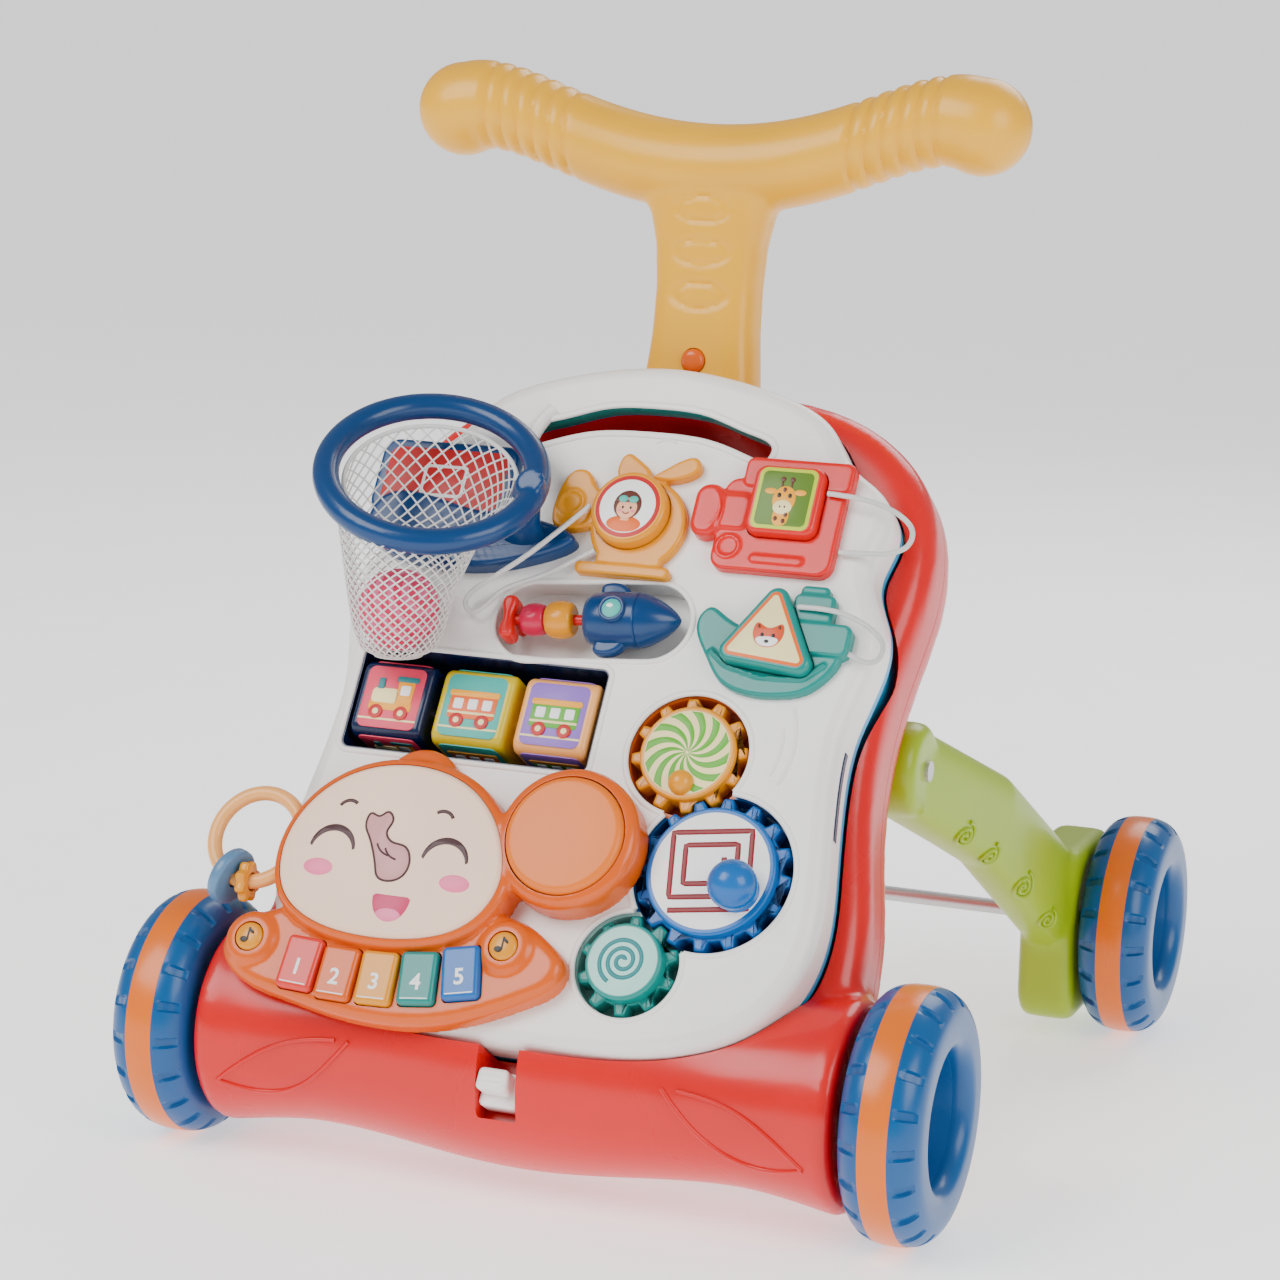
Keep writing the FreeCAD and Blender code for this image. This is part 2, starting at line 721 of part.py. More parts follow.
def bead(radius, length, start):
    """A rounded bead threaded on the rocket's rod."""
    half = length / 2
    arc = [(half * sin(a), radius * (0.62 + 0.38 * cos(a))) for a in [radians(k) for k in range(-90, 91, 15)]]
    wire = Part.makePolygon([V(-half, 0, 0)] + [V(x, 0, r) for x, r in arc] + [V(half, 0, 0), V(-half, 0, 0)])
    solid = Part.Face(wire).revolve(V(0, 0, 0), V(1, 0, 0), 360)
    solid.rotate(V(0, 0, 0), V(0, 0, 1), degrees(rocket_tilt))
    solid.translate(along_rocket(start + half))
    hole = rod(along_rocket(-80), along_rocket(80), rocket_rod_radius + running_fit)
    return solid.cut(hole)


def make_rocket():
    profile = [(0, 0), (0, 11), (4, 13), (18, 13.5), (28, 11.5), (37, 7), (44, 1.5), (45, 0)]
    wire = Part.makePolygon([V(x, 0, r) for x, r in profile] + [V(0, 0, 0)])
    body = Part.Face(wire).revolve(V(0, 0, 0), V(1, 0, 0), 360)
    fin = polygon([(5, -18.5), (17, -18.5), (22, -10), (22, 10), (17, 18.5), (5, 18.5)])
    body = body.fuse(slab(fin, -4, 4)).removeSplitter()
    body.rotate(V(0, 0, 0), V(0, 0, 1), degrees(rocket_tilt))
    body.translate(along_rocket(rocket_start))
    foot = along_rocket(rocket_start + 14)
    stand = Part.makeCylinder(5, rocket_h - rocket_recess_h, V(foot.x, foot.y, rocket_recess_h))
    body = body.fuse(stand)
    tail = rounded_box(-3.5, -10.0, -6, 3.0, 10.0, 6, 2.5, V(0, 0, 1))
    tail.rotate(V(0, 0, 0), V(0, 0, 1), degrees(rocket_tilt) + 5)
    tail.translate(along_rocket(rod_start - 3))
    pole = rod(along_rocket(rod_start - 3), along_rocket(rocket_start), rocket_rod_radius)
    tail_foot = along_rocket(rod_start - 3)
    pin = Part.makeCylinder(2.5, rocket_h - rocket_recess_h, V(tail_foot.x, tail_foot.y, rocket_recess_h))
    keep("rocket_body", lean_back(biggest(body)))
    keep("rocket_rod", lean_back(tail.fuse([pole, pin]).cut(body)))
    first = rod_start + 2.2
    second = first + bead_length - 1.5 + slip_gap
    keep("red_bead", lean_back(bead(8.0, bead_length - 1.5, first)))
    keep("yellow_bead", lean_back(bead(9.2, bead_length, second)))


# ---- three lift-off picture shapes ------------------------------------------------------------
base_height = 5.0
block_seat = 2.0
picture_top = 12.0


def make_helicopter():
    body = slab(disc(6.5, 262, 24.0), 0, base_height)
    tail = slab(polygon([(-12, 262), (-30, 260), (-37, 270), (-34, 287), (-26, 287), (-12, 274)]), 0, base_height)
    rotor = slab(polygon([(-11, 294), (-6, 296), (6, 286), (18, 286), (28, 292), (30, 285), (24, 280), (2, 278),
                          (-10, 284)]), 0, base_height)
    skid = slab(rounded_rectangle(-16, 235, 28, 242, 3.0), 0, base_height)
    base = body.fuse([tail, rotor, skid]).removeSplitter()
    badge = disc(2.5, 267.5, 19.0)
    base = base.cut(slab(grown(badge, slip_gap), block_seat, 20))
    keep("helicopter_base", lean_back(biggest(base)))
    block = soft_slab(badge, block_seat + 0.1, picture_top, 2.5)
    keep("helicopter_block", lean_back(block))


def make_camera():
    body = rounded_box(47, 246, 0, 106, 294, base_height, 5.0, V(0, 0, 1))
    lens = rounded_box(34, 262, 0, 60, 285, base_height, 7.0, V(0, 0, 1))
    base = body.fuse(lens).removeSplitter()
    plate = rounded_rectangle(61, 260, 96, 295.5, 6.0)
    base = base.cut(slab(grown(plate, slip_gap), block_seat, 20))
    keep("camera_base", lean_back(biggest(base)))
    keep("camera_block", lean_back(soft_slab(plate, block_seat + 0.1, picture_top, 2.5)))


def make_boat():
    hull = loop([(51, 222), (58, 219), (86, 212), (114, 210), (117, 203), (112, 193), (100, 188), (80, 187),
                 (66, 190), (58, 202)])
    base = slab(hull, 0, base_height)
    cabin = slab(rounded_rectangle(88, 205, 118, 221, 4.0), 0, base_height)
    funnel = slab(rounded_rectangle(90, 215, 106, 236, 3.5), 0, base_height)
    base = base.fuse([cabin, funnel]).removeSplitter()
    corners = slab(polygon([(85.5, 228), (69, 201), (102, 198)]), 0, 1)
    plate = grown(Part.Face(corners.Faces[-1].OuterWire), 6.0)
    plate.translate(V(0, 0, -plate.BoundBox.ZMin))
    base = base.cut(slab(grown(plate, slip_gap), block_seat, 20))
    keep("boat_base", lean_back(biggest(base)))
    keep("boat_block", lean_back(soft_slab(plate, block_seat + 0.1, picture_top, 2.5)))


# ---- strings ----------------------------------------------------------------------------
string_routes = {
    "helicopter_string": [(-18.2, 268, 8), (-23, 258, 12.5), (-30, 248, 15), (-38.5, 238.5, 15),
                          (-48, 231, 13.5), (-58, 225, 10), (-67, 220, 7), (-71, 213, 5.5),
                          (-65, 208, 5), (-58.5, 213.5, 5.5), (-53, 222, 5.5), (-43.5, 227, 5),
                          (-33.5, 232, 4.5), (-23.5, 239, 4), (-12.5, 247.2, 3.5)],
    "camera_string": [(97.5, 284, 8), (109, 283, 9), (121, 281, 9), (133, 277, 8), (142, 270, 7),
                      (141, 261, 6), (131, 257, 5), (119, 257, 4.5), (107.5, 257, 3)],
    "boat_string": [(95.5, 226, 8), (108, 226, 9), (120, 224, 9), (132, 219, 8), (140, 212, 7),
                    (138, 203, 6), (129, 203, 5), (119.2, 209, 3)],
}


def tube_along(points, diameter, name):
    """Straight runs joined by tangent arcs, each as large as its two runs allow."""
    edges = []
    last = points[0]
    smallest = None
    for k in range(1, len(points) - 1):
        here = points[k]
        back = points[k - 1] - here
        ahead = points[k + 1] - here
        shorter = min(back.Length, ahead.Length)
        back.normalize()
        ahead.normalize()
        half_turn = (pi - back.getAngle(ahead)) / 2
        cut = 0.45 * shorter
        radius = cut / tan(half_turn)
        smallest = radius if smallest is None else min(smallest, radius)
        entry = here + back * cut
        leave = here + ahead * cut
        bisector = back + ahead
        bisector.normalize()
        crown = here + bisector * (radius / cos(half_turn) - radius)
        edges.append(Part.makeLine(last, entry))
        edges.append(Part.Arc(entry, crown, leave).toShape())
        last = leave
    edges.append(Part.makeLine(last, points[-1]))
    path = Part.Wire(edges)
    circle = Part.Wire(Part.makeCircle(diameter / 2, points[0], points[1] - points[0]))
    tube = path.makePipeShell([circle], True, False)
    ideal = pi * diameter ** 2 / 4 * path.Length
    print(name, "length", round(path.Length, 1), "smallest radius", round(smallest, 1),
          "volume ratio", round(tube.Volume / ideal, 4))
    return tube


def make_strings():
    for name, route in string_routes.items():
        points = [V(*p) for p in route]
        keep(name, lean_back(tube_along(points, string_diameter, name)))


# ---- hoop, net and ball -----------------------------------------------------------------------
hoop_center = (-85.0, 262.0, 45.0)
hoop_lean = (0.22, -0.48, 0.85)
ball_place = (-93.0, 199.0, 25.0)
net_bottom = (-93.0, 181.0, 13.3)


def upright(x, y, z):
    """A direction given in the walker's frame, turned into the panel's frame."""
    return panel_place.Rotation.inverted().multVec(V(x, y, z))


def make_hoop():
    center = V(*hoop_center)
    normal = upright(*hoop_lean)
    normal.normalize()
    ring = Part.makeTorus(hoop_radius, hoop_tube_radius, center, normal)
    lens = loop([(-22, 250), (-44, 259), (-80, 262), (-128, 262), (-130, 245), (-110, 234), (-75, 231), (-42, 238)])
    bracket = slab(lens, 0, 10)
    board = rounded_box(-133, 256, 3, -60, 296, 8, 8.0, V(0, 0, 1))
    board = board.fuse(bracket).removeSplitter()
    foot = V(-49, 249, 10)
    grip = V(-38.5, 262, 30)
    neck = Part.makeLoft([Part.Wire(Part.makeCircle(8.5, foot, V(0, 0, 1))),
                          Part.Wire(Part.makeCircle(8, V(-43, 256, 22), V(0.3, 0.3, 1))),
                          Part.Wire(Part.makeCircle(7.5, grip + V(0, 2, 6), V(0, 0.5, 1)))], True, False)
    ring = ring.fuse(neck).removeSplitter()
    keep("hoop_bracket", lean_back(biggest(board)))
    keep("hoop_ring", lean_back(biggest(ring)))


net_wall = 1.2
net_rows = [((-85.5, 258.5, 43.0), hoop_lean, hoop_radius - 12), ((-88, 234, 44), (0, 0, 1), 34.5),
            ((-92, 207.5, 30.5), (0, 0, 1), 25.5), ((-93, 192.7, 20.9), (0, 0, 1), 22.0),
            (net_bottom, (0, 0, 1), 14.5)]
net_sides = 24


def ring_of_net(place, direction, radius):
    """A ring of points round the net, started at the same side at every level."""
    normal = upright(*direction)
    normal.normalize()
    first = V(1, 0, 0) - normal * normal.x
    first.normalize()
    second = normal.cross(first)
    return [V(*place) + (first * cos(a) + second * sin(a)) * radius
            for a in [2 * pi * k / net_sides for k in range(net_sides)]]


def facet(*corners):
    return Part.Face(Part.makePolygon(list(corners) + [corners[0]]))


def make_net_and_ball():
    """The net is a thin bag: down its outside, across its foot, up its inside and over the rim."""
    outside = [ring_of_net(*row) for row in net_rows]
    inside = [ring_of_net(place, way, radius - net_wall) for place, way, radius in net_rows]
    foot = V(*net_bottom)
    lift = upright(0, 0, 1) * net_wall
    inside[-1] = [p + lift for p in inside[-1]]
    rings = outside[::-1] + inside
    faces = []
    for low, high in zip(rings, rings[1:]):
        for k in range(net_sides):
            after = (k + 1) % net_sides
            faces.append(facet(low[k], low[after], high[after]))
            faces.append(facet(low[k], high[after], high[k]))
    for ring, middle in ((outside[-1], foot), (inside[-1], foot + lift)):
        faces += [facet(middle, ring[k], ring[(k + 1) % net_sides]) for k in range(net_sides)]
    shell = Part.makeShell(faces)
    shell.sewShape()
    net = Part.Solid(shell)
    if net.Volume < 0:
        net.reverse()
    keep("net", lean_back(net))
    keep("ball", lean_back(Part.makeSphere(ball_radius, V(*ball_place))))


# ---- elephant piano ---------------------------------------------------------------------------
face_points = [(-67, 125.5), (-37, 118), (-18, 99), (-11.5, 72), (-21, 54), (-45, 43), (-72, 41), (-100, 46),
               (-116, 57), (-122.3, 75), (-117, 98), (-99, 117)]
crescent_points = [(-143.5, 30), (-137, 20), (-112, 11), (-85, 6), (-60, 4), (-33, 6), (-8, 14), (12, 24),
                   (24, 34), (25, 43), (16, 52), (4, 59), (-12, 62), (-40, 60), (-100, 58), (-125, 50), (-139, 42)]
ear_center = (14.5, 100.0)
ear_radius = 34.0
ear_pad_radius = 28.5
face_top_h = 18.0
ear_top_h = 19.0
crescent_top_h = 13.0
rim_width = 4.0
key_places = [(-99.5, 25.5, -3), (-80, 23.2, -1), (-60.2, 23.5, 2), (-40.2, 26, 7), (-20.3, 31.2, 12)]
left_button = (-128.0, 34.5)
right_button = (-3.0, 46.0)


def piano_mass(grow, drop):
    """The piano's outer form, or with a negative grow the hollow inside it."""
    face = loop(face_points, rim_width + grow)
    crescent = loop(crescent_points, grow)
    solids = []
    solids.append(slab(crescent, 0, crescent_top_h - drop))
    solids.append(slab(disc(ear_center[0], ear_center[1], ear_radius + grow), 0, ear_top_h - drop))
    solids.append(slab(disc(-67, 118, 19.5 + grow), 0, 12 - drop))
    solids.append(slab(face, 0, face_top_h - drop))
    for x, s in (left_button, right_button):
        solids.append(slab(disc(x, s, 13.5 + grow), 0, crescent_top_h + 3 - drop))
    return solids[0].fuse(solids[1:])


def key_box(x, s, turn, grow, low, high):
    half_w = key_width / 2 + grow
    half_l = key_length / 2 + grow
    key = rounded_box(-half_w, -half_l, low, half_w, half_l, high, 2.5 + grow, V(0, 0, 1))
    key.rotate(V(0, 0, 0), V(0, 0, 1), turn)
    key.translate(V(x, s, 0))
    return key


def make_piano():
    wall = 2.5
    shell = piano_mass(0, 0).cut(piano_mass(-wall, wall))
    seat = loop(face_points)
    shell = shell.cut(slab(loop(face_points, 0.1), face_top_h - 1.5, face_top_h + 5))
    for x, s, turn in key_places:
        shell = shell.cut(key_box(x, s, turn, slip_gap, -1, 40))
    for x, s in (left_button, right_button):
        shell = shell.cut(Part.makeCylinder(button_radius + slip_gap, 40, V(x, s, -1)))
    shell = shell.cut(Part.makeCylinder(ear_pad_radius + slip_gap, 40, V(ear_center[0], ear_center[1], -1)))
    shell = shell.removeSplitter()
    keep("piano_housing", lean_back(biggest(shell)))
    plate = slab(seat, face_top_h - 1.4, face_top_h + 1.5)
    keep("face_plate", lean_back(plate))
    for k, (x, s, turn) in enumerate(key_places):
        key = key_box(x, s, turn, 0, 4, crescent_top_h + 4)
        keep("key_" + str(k + 1), lean_back(key.makeFillet(1.0, top_edges(key, crescent_top_h + 4))))
    for name, (x, s) in (("left_button", left_button), ("right_button", right_button)):
        knob = Part.makeCylinder(button_radius, crescent_top_h, V(x, s, 5))
        keep(name, lean_back(knob.makeFillet(1.5, top_edges(knob, crescent_top_h + 5))))
    pad = Part.makeCylinder(ear_pad_radius, 18, V(ear_center[0], ear_center[1], 5))
    keep("ear_pad", lean_back(pad.makeFillet(3.0, top_edges(pad, 23))))


ear_ring_center = (-140.0, 83.6)
ear_ring_h = 11.0


def make_ear_ring():
    """The pale ring that stands out as the other ear, with two beads threaded on it."""
    x, s = ear_ring_center
    center = V(x, s, ear_ring_h)
    ring = Part.makeTorus(ear_ring_radius, ear_ring_tube, center, V(0, 0, 1))
    cheek = slab(loop(face_points, rim_width), -1, face_top_h + 5)
    ring = ring.cut(cheek)
    keep("ear_ring", lean_back(biggest(ring)))
    beads = []
    bore = ear_ring_tube + 0.9
    for angle, radius, length, lobes in ((248, 14.0, 6.0, 0), (272, 10.0, 5.0, 8)):
        a = radians(angle)
        place = center + V(cos(a), sin(a), 0) * ear_ring_radius
        along = V(-sin(a), cos(a), 0)
        start = place - along * (length / 2)
        body = Part.makeCylinder(radius, length, start, along)
        for k in range(lobes):
            turn = 2 * pi * k / lobes
            radial = V(cos(a), sin(a), 0) * cos(turn) + V(0, 0, 1) * sin(turn)
            body = body.cut(Part.makeCylinder(2.2, length + 2, start + radial * radius - along, along))
        beads.append(lean_back(body.cut(Part.makeCylinder(bore, length + 2, start - along, along))))
    keep("ear_beads", *beads)


def make_latch():
    solid = box(-latch_half_width, latch_low_s, latch_back_h, latch_half_width, latch_high_s, latch_front_h)
    solid = solid.makeFillet(2.5, top_edges(solid, latch_front_h))
    keep("panel_latch", lean_back(solid))


def main():
    os.makedirs("parts", exist_ok=True)
    make_wheels()
    make_frame()
    make_legs()
    make_screws()
    make_handle()
    make_panel_shells()
    make_gear_pockets()
    make_inside_pieces()
    make_gears()
    make_block_tray()
    make_rocket()
    make_helicopter()
    make_camera()
    make_boat()
    make_strings()
    make_hoop()
    make_net_and_ball()
    make_piano()
    make_ear_ring()
    make_latch()
    for name, shape in parts.items():
        shape.exportStep("parts/" + name + ".step")
    print(len(parts), "nodes")


main()
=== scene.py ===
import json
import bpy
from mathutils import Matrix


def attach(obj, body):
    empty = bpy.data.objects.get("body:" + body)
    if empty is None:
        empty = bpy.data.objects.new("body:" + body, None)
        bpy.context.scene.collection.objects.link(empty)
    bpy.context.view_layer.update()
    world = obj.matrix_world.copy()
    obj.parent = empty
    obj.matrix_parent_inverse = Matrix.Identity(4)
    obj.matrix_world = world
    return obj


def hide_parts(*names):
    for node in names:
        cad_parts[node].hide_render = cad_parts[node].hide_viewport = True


bl_info = {
    "name": "Baby Walker",
    "version": (1, 0, 0),
    "blender": (4, 5, 0),
    "location": "View3D > Sidebar > Walker",
    "description": "Dresses the packed baby walker with its moulded, printed and knitted pieces",
    "category": "Object",
}

from math import atan2, cos, pi, radians, sin

import bmesh
import bpy
import numpy as np
from mathutils import Matrix, Vector

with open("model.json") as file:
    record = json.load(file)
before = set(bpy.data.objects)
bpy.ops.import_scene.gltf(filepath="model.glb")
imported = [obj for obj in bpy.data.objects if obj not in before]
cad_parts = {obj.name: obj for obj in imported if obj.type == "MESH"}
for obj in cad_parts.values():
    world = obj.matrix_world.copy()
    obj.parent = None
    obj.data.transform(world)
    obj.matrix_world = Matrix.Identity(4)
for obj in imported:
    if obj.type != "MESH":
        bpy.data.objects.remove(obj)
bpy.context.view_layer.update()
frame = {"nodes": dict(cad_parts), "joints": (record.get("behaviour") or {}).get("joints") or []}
JOINTS = {joint["name"]: joint for joint in frame["joints"]}

# Shapes are worked out in millimetres and become metres as their mesh is made.
MM = 0.001
# The play panel's own axes: across it, up its slope and out of its face. The blue gear's joint
# stands at a known place on the panel, which gives the panel's origin.
OUT = np.array(JOINTS["panel_lift"]["axis"], float)
ACROSS = np.array([1.0, 0.0, 0.0])
UP_SLOPE = np.cross(OUT, ACROSS)
PANEL_AXES = np.array([ACROSS, UP_SLOPE, OUT])
BLUE_ON_PANEL = np.array([81.0, 96.7, -6.0])
PANEL_ORIGIN = np.array(JOINTS["blue_gear_spin"]["pos_m"]) / MM - BLUE_ON_PANEL @ PANEL_AXES
WHEEL_RADIUS = JOINTS["front_wheel_left_spin"]["pos_m"][2] / MM
FRONT_AXLE_Y = JOINTS["front_wheel_left_spin"]["pos_m"][1] / MM
REAR_AXLE_Y = JOINTS["rear_wheel_left_spin"]["pos_m"][1] / MM


# ---- shapes -----------------------------------------------------------------------------
# A shape is (points, faces): an array of millimetre points and a list of index tuples.

def to_world(points):
    """Panel places (across, up the slope, out) become walker places: the origin plus each axis times its
    share."""
    return np.asarray(points, float) @ PANEL_AXES + PANEL_ORIGIN


def grid(points, close_rows=False, close_columns=False):
    """Quads over a (rows, columns, 3) array of points; a closed direction joins its last line to its
    first."""
    rows, columns = points.shape[:2]
    r = np.arange(rows if close_rows else rows - 1)[:, None]
    c = np.arange(columns if close_columns else columns - 1)[None, :]
    r2 = (r + 1) % rows
    c2 = (c + 1) % columns
    quads = np.stack([r * columns + c, r * columns + c2, r2 * columns + c2, r2 * columns + c], -1)
    return points.reshape(-1, 3), [tuple(q) for q in quads.reshape(-1, 4).tolist()]


def capped(shape, count):
    """Closes both ends of a tube of rings of so many points with a face each."""
    points, faces = shape
    last = len(points) - count
    return points, faces + [tuple(range(count))[::-1], tuple(range(last, last + count))]


def joined(*shapes):
    """Several shapes as one, each with its faces' numbers moved past the points before it."""
    points, faces, base = [], [], 0
    for shape_points, shape_faces in shapes:
        points.append(shape_points)
        faces += [tuple(i + base for i in face) for face in shape_faces]
        base += len(shape_points)
    return np.concatenate(points), faces


def moved(shape, way):
    return way(shape[0]), shape[1]


def circle(x, y, radius, count=64):
    """Points at even angles, a radius from the centre."""
    a = np.linspace(0, 2 * pi, count, endpoint=False)
    return np.stack([x + radius * np.cos(a), y + radius * np.sin(a)], 1)


def oval(x, y, half_x, half_y, count=48):
    return circle(0, 0, 1, count) * (half_x, half_y) + (x, y)


def rounded_rectangle(x0, y0, x1, y1, radius, count=8):
    """Four quarter circles, one at each corner, joined by straight sides."""
    a = np.linspace(0, pi / 2, count)
    corners = [(x1 - radius, y1 - radius), (x0 + radius, y1 - radius),
               (x0 + radius, y0 + radius), (x1 - radius, y0 + radius)]
    arcs = [np.stack([cx + radius * np.cos(a + k * pi / 2), cy + radius * np.sin(a + k * pi / 2)], 1)
            for k, (cx, cy) in enumerate(corners)]
    return np.concatenate(arcs)


def soft_polygon(points, rounds=4):
    """Cuts every corner at a quarter of its sides, again and again, which leaves a smooth outline."""
    outline = np.asarray(points, float)
    for _ in range(rounds):
        after = np.roll(outline, -1, 0)
        outline = np.stack([0.75 * outline + 0.25 * after, 0.25 * outline + 0.75 * after], 1).reshape(-1, 2)
    return outline


def loop(points, count=200):
    """A closed cubic curve through the points, even in its first and second slopes."""
    p = np.asarray(points, float)
    n = len(p)
    ahead = np.linalg.norm(np.roll(p, -1, 0) - p, axis=1)
    behind = np.roll(ahead, 1)
    eye = np.eye(n)
    system = (eye * (2 * (ahead + behind))[:, None] + np.roll(eye, 1, 1) * ahead[:, None]
              + np.roll(eye, -1, 1) * behind[:, None])
    slope = (np.roll(p, -1, 0) - p) / ahead[:, None]
    bend = np.linalg.solve(system, 6 * (slope - np.roll(slope, 1, 0)))
    knots = np.concatenate([[0], np.cumsum(ahead)])
    t = np.linspace(0, knots[-1], count, endpoint=False)
    k = np.searchsorted(knots, t, side="right") - 1
    h = ahead[k][:, None]
    a = (knots[k + 1] - t)[:, None]
    b = (t - knots[k])[:, None]
    start, end = p[k], p[(k + 1) % n]
    bend0, bend1 = bend[k], bend[(k + 1) % n]
    cubic = (bend0 * a ** 3 + bend1 * b ** 3) / (6 * h)
    return cubic + (start / h - bend0 * h / 6) * a + (end / h - bend1 * h / 6) * b


def mirrored(right_half):
    return right_half + [(-x, y) for x, y in reversed(right_half) if x > 0]


def outward(outline):
    """The outward direction at each point of a closed outline that runs anticlockwise."""
    along = np.roll(outline, -1, 0) - np.roll(outline, 1, 0)
    along /= np.linalg.norm(along, axis=1)[:, None] + 1e-12
    return np.stack([along[:, 1], -along[:, 0]], 1)


def anticlockwise(outline):
    x, y = outline[:, 0], outline[:, 1]
    area = np.sum(x * np.roll(y, -1) - y * np.roll(x, -1))
    return outline if area > 0 else outline[::-1]


def grown(outline, distance):
    outline = anticlockwise(outline)
    return outline + outward(outline) * distance


def pillow(outline, low, high, top=2.0, bottom=0.0, dome=0.0, steps=6):
    """An outline carried from low to high. Near each end it draws in along a quarter circle, and a dome
    raises the top by dome * (1 - share of the way out, squared)."""
    outline = anticlockwise(np.asarray(outline, float))
    side = outward(outline)
    a = np.linspace(0, pi / 2, steps)
    if bottom:
        inset = list(bottom * (1 - np.sin(a)))
        height = list(low + bottom * (1 - np.cos(a)))
    else:
        inset, height = [0.0], [low]
    inset += list(top * (1 - np.cos(a)))
    height += list(high - top + top * np.sin(a))
    rings = outline[None] - side[None] * np.array(inset)[:, None, None]
    heights = np.repeat(np.array(height)[:, None], len(outline), 1)
    if dome:
        share = np.linspace(1, 0.03, 10)[1:]
        middle = rings[-1].mean(0)
        inner = middle + (rings[-1] - middle)[None] * share[:, None, None]
        rings = np.concatenate([rings, inner])
        domed = np.repeat((high + dome * (1 - share ** 2))[:, None], len(outline), 1)
        heights = np.concatenate([heights, domed])
    points = np.concatenate([rings, heights[..., None]], -1)
    return capped(grid(points, close_columns=True), len(outline))


def turned(profile, count=96, axis="x", ring=False):
    """A profile of (along, radius) carried round an axis; an end off the axis is closed by a flat face, but
    a ring's profile joins its own start."""
    profile = np.asarray(profile, float)
    a = np.linspace(0, 2 * pi, count, endpoint=False)[None, :]
    along = np.repeat(profile[:, :1], count, 1)
    across = profile[:, 1:] * np.cos(a)
    upward = profile[:, 1:] * np.sin(a)
    order = {"x": (along, across, upward), "y": (upward, along, across), "z": (across, upward, along)}[axis]
    shape = grid(np.stack(order, -1), close_rows=ring, close_columns=True)
    return shape if ring else capped(shape, count)


def ribbon(path, up, width, height, closed=False, count=10):
    """A low rounded ridge along a path: at each point a half-round section, width across and height up."""
    path = np.asarray(path, float)
    along = np.roll(path, -1, 0) - np.roll(path, 1, 0) if closed else np.gradient(path, axis=0)
    across = np.cross(np.asarray(up, float), along)
    across /= np.linalg.norm(across, axis=1)[:, None] + 1e-12
    a = np.linspace(0, 2 * pi, count, endpoint=False)
    lift = np.asarray(up, float)
    lift = lift / np.linalg.norm(lift)
    points = (path[:, None] + across[:, None] * (width / 2 * np.cos(a))[None, :, None]
              + lift[None, None] * (height * np.sin(a))[None, :, None])
    shape = grid(points, close_rows=closed, close_columns=True)
    return shape if closed else capped(shape, count)


def flat_path(points, height):
    points = np.asarray(points, float)
    return np.concatenate([points, np.full((len(points), 1), float(height))], 1)


def ridge(outline, level, width, height, closed=False, count=10):
    """A ribbon along flat places, all at one level, raised out of the face."""
    return ribbon(flat_path(outline, level), (0, 0, 1), width, height, closed, count)


def arc(x, y, radius, start, end, count=24, squeeze=1.0):
    """Points on part of a circle, angles in degrees, flattened by squeeze."""
    a = np.radians(np.linspace(start, end, count))
    return np.stack([x + radius * np.cos(a), y + radius * squeeze * np.sin(a)], 1)


def line(*points, count=12):
    """Even points along a broken line."""
    p = np.asarray(points, float)
    lengths = np.concatenate([[0], np.cumsum(np.linalg.norm(np.diff(p, axis=0), axis=1))])
    t = np.linspace(0, lengths[-1], count * (len(p) - 1))
    return np.stack([np.interp(t, lengths, p[:, k]) for k in range(p.shape[1])], 1)


# ---- pieces -----------------------------------------------------------------------------
def mesh_of(name, shape, tidy=True):
    mesh = bpy.data.meshes.new(name)
    mesh.from_pydata((shape[0] * MM).tolist(), [], shape[1])
    if tidy:
        b = bmesh.new()
        b.from_mesh(mesh)
        bmesh.ops.recalc_face_normals(b, faces=b.faces)
        b.to_mesh(mesh)
        b.free()
    return mesh


def show(mesh, name, body, finishes, replaces=(), slot=None, crease=38):
    """Links a mesh as a finished piece on its body, smooth but for edges sharper than the crease."""
    mesh.shade_smooth()
    mesh.set_sharp_from_angle(angle=radians(crease))
    piece = bpy.data.objects.new(name, mesh)
    bpy.context.scene.collection.objects.link(piece)
    for one in [finishes] if isinstance(finishes, str) else finishes:
        mesh.materials.append(bpy.data.materials[one])
    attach(piece, body)
    if replaces:
        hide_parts(*([replaces] if isinstance(replaces, str) else replaces))
    return piece


def piece(name, body, shape, finish, **more):
    return show(mesh_of(name, shape), name, body, finish, **more)


def panel_piece(name, body, shape, finish, **more):
    """A piece whose shape is given in the panel's own axes."""
    return piece(name, body, moved(shape, to_world), finish, **more)


def slab(form, level):
    """A print's outline as a thin slab whose top rises with its level; a shape stays as it is."""
    return form if isinstance(form, tuple) else pillow(form, -0.3, 0.14 * level, top=0.06, steps=3)


def picture(name, body, layers, way, slot=None):
    """A print in low relief: each layer (outline or shape, ink, level) is a slab, a little prouder with each
    level."""
    inks = sorted({ink for _, ink, _ in layers})
    shapes, numbers = [], []
    for form, ink, level in layers:
        shape = slab(form, level)
        shapes.append(moved(shape, way))
        numbers += [inks.index(ink)] * len(shape[1])
    mesh = mesh_of(name, joined(*shapes))
    mesh.polygons.foreach_set("material_index", np.array(numbers, np.int32))
    return show(mesh, name, body, inks, slot=slot)


def on_face(height):
    """Places a print's own millimetres on the panel, a height above its face."""
    return lambda points: to_world(points + np.array([0, 0, height]))


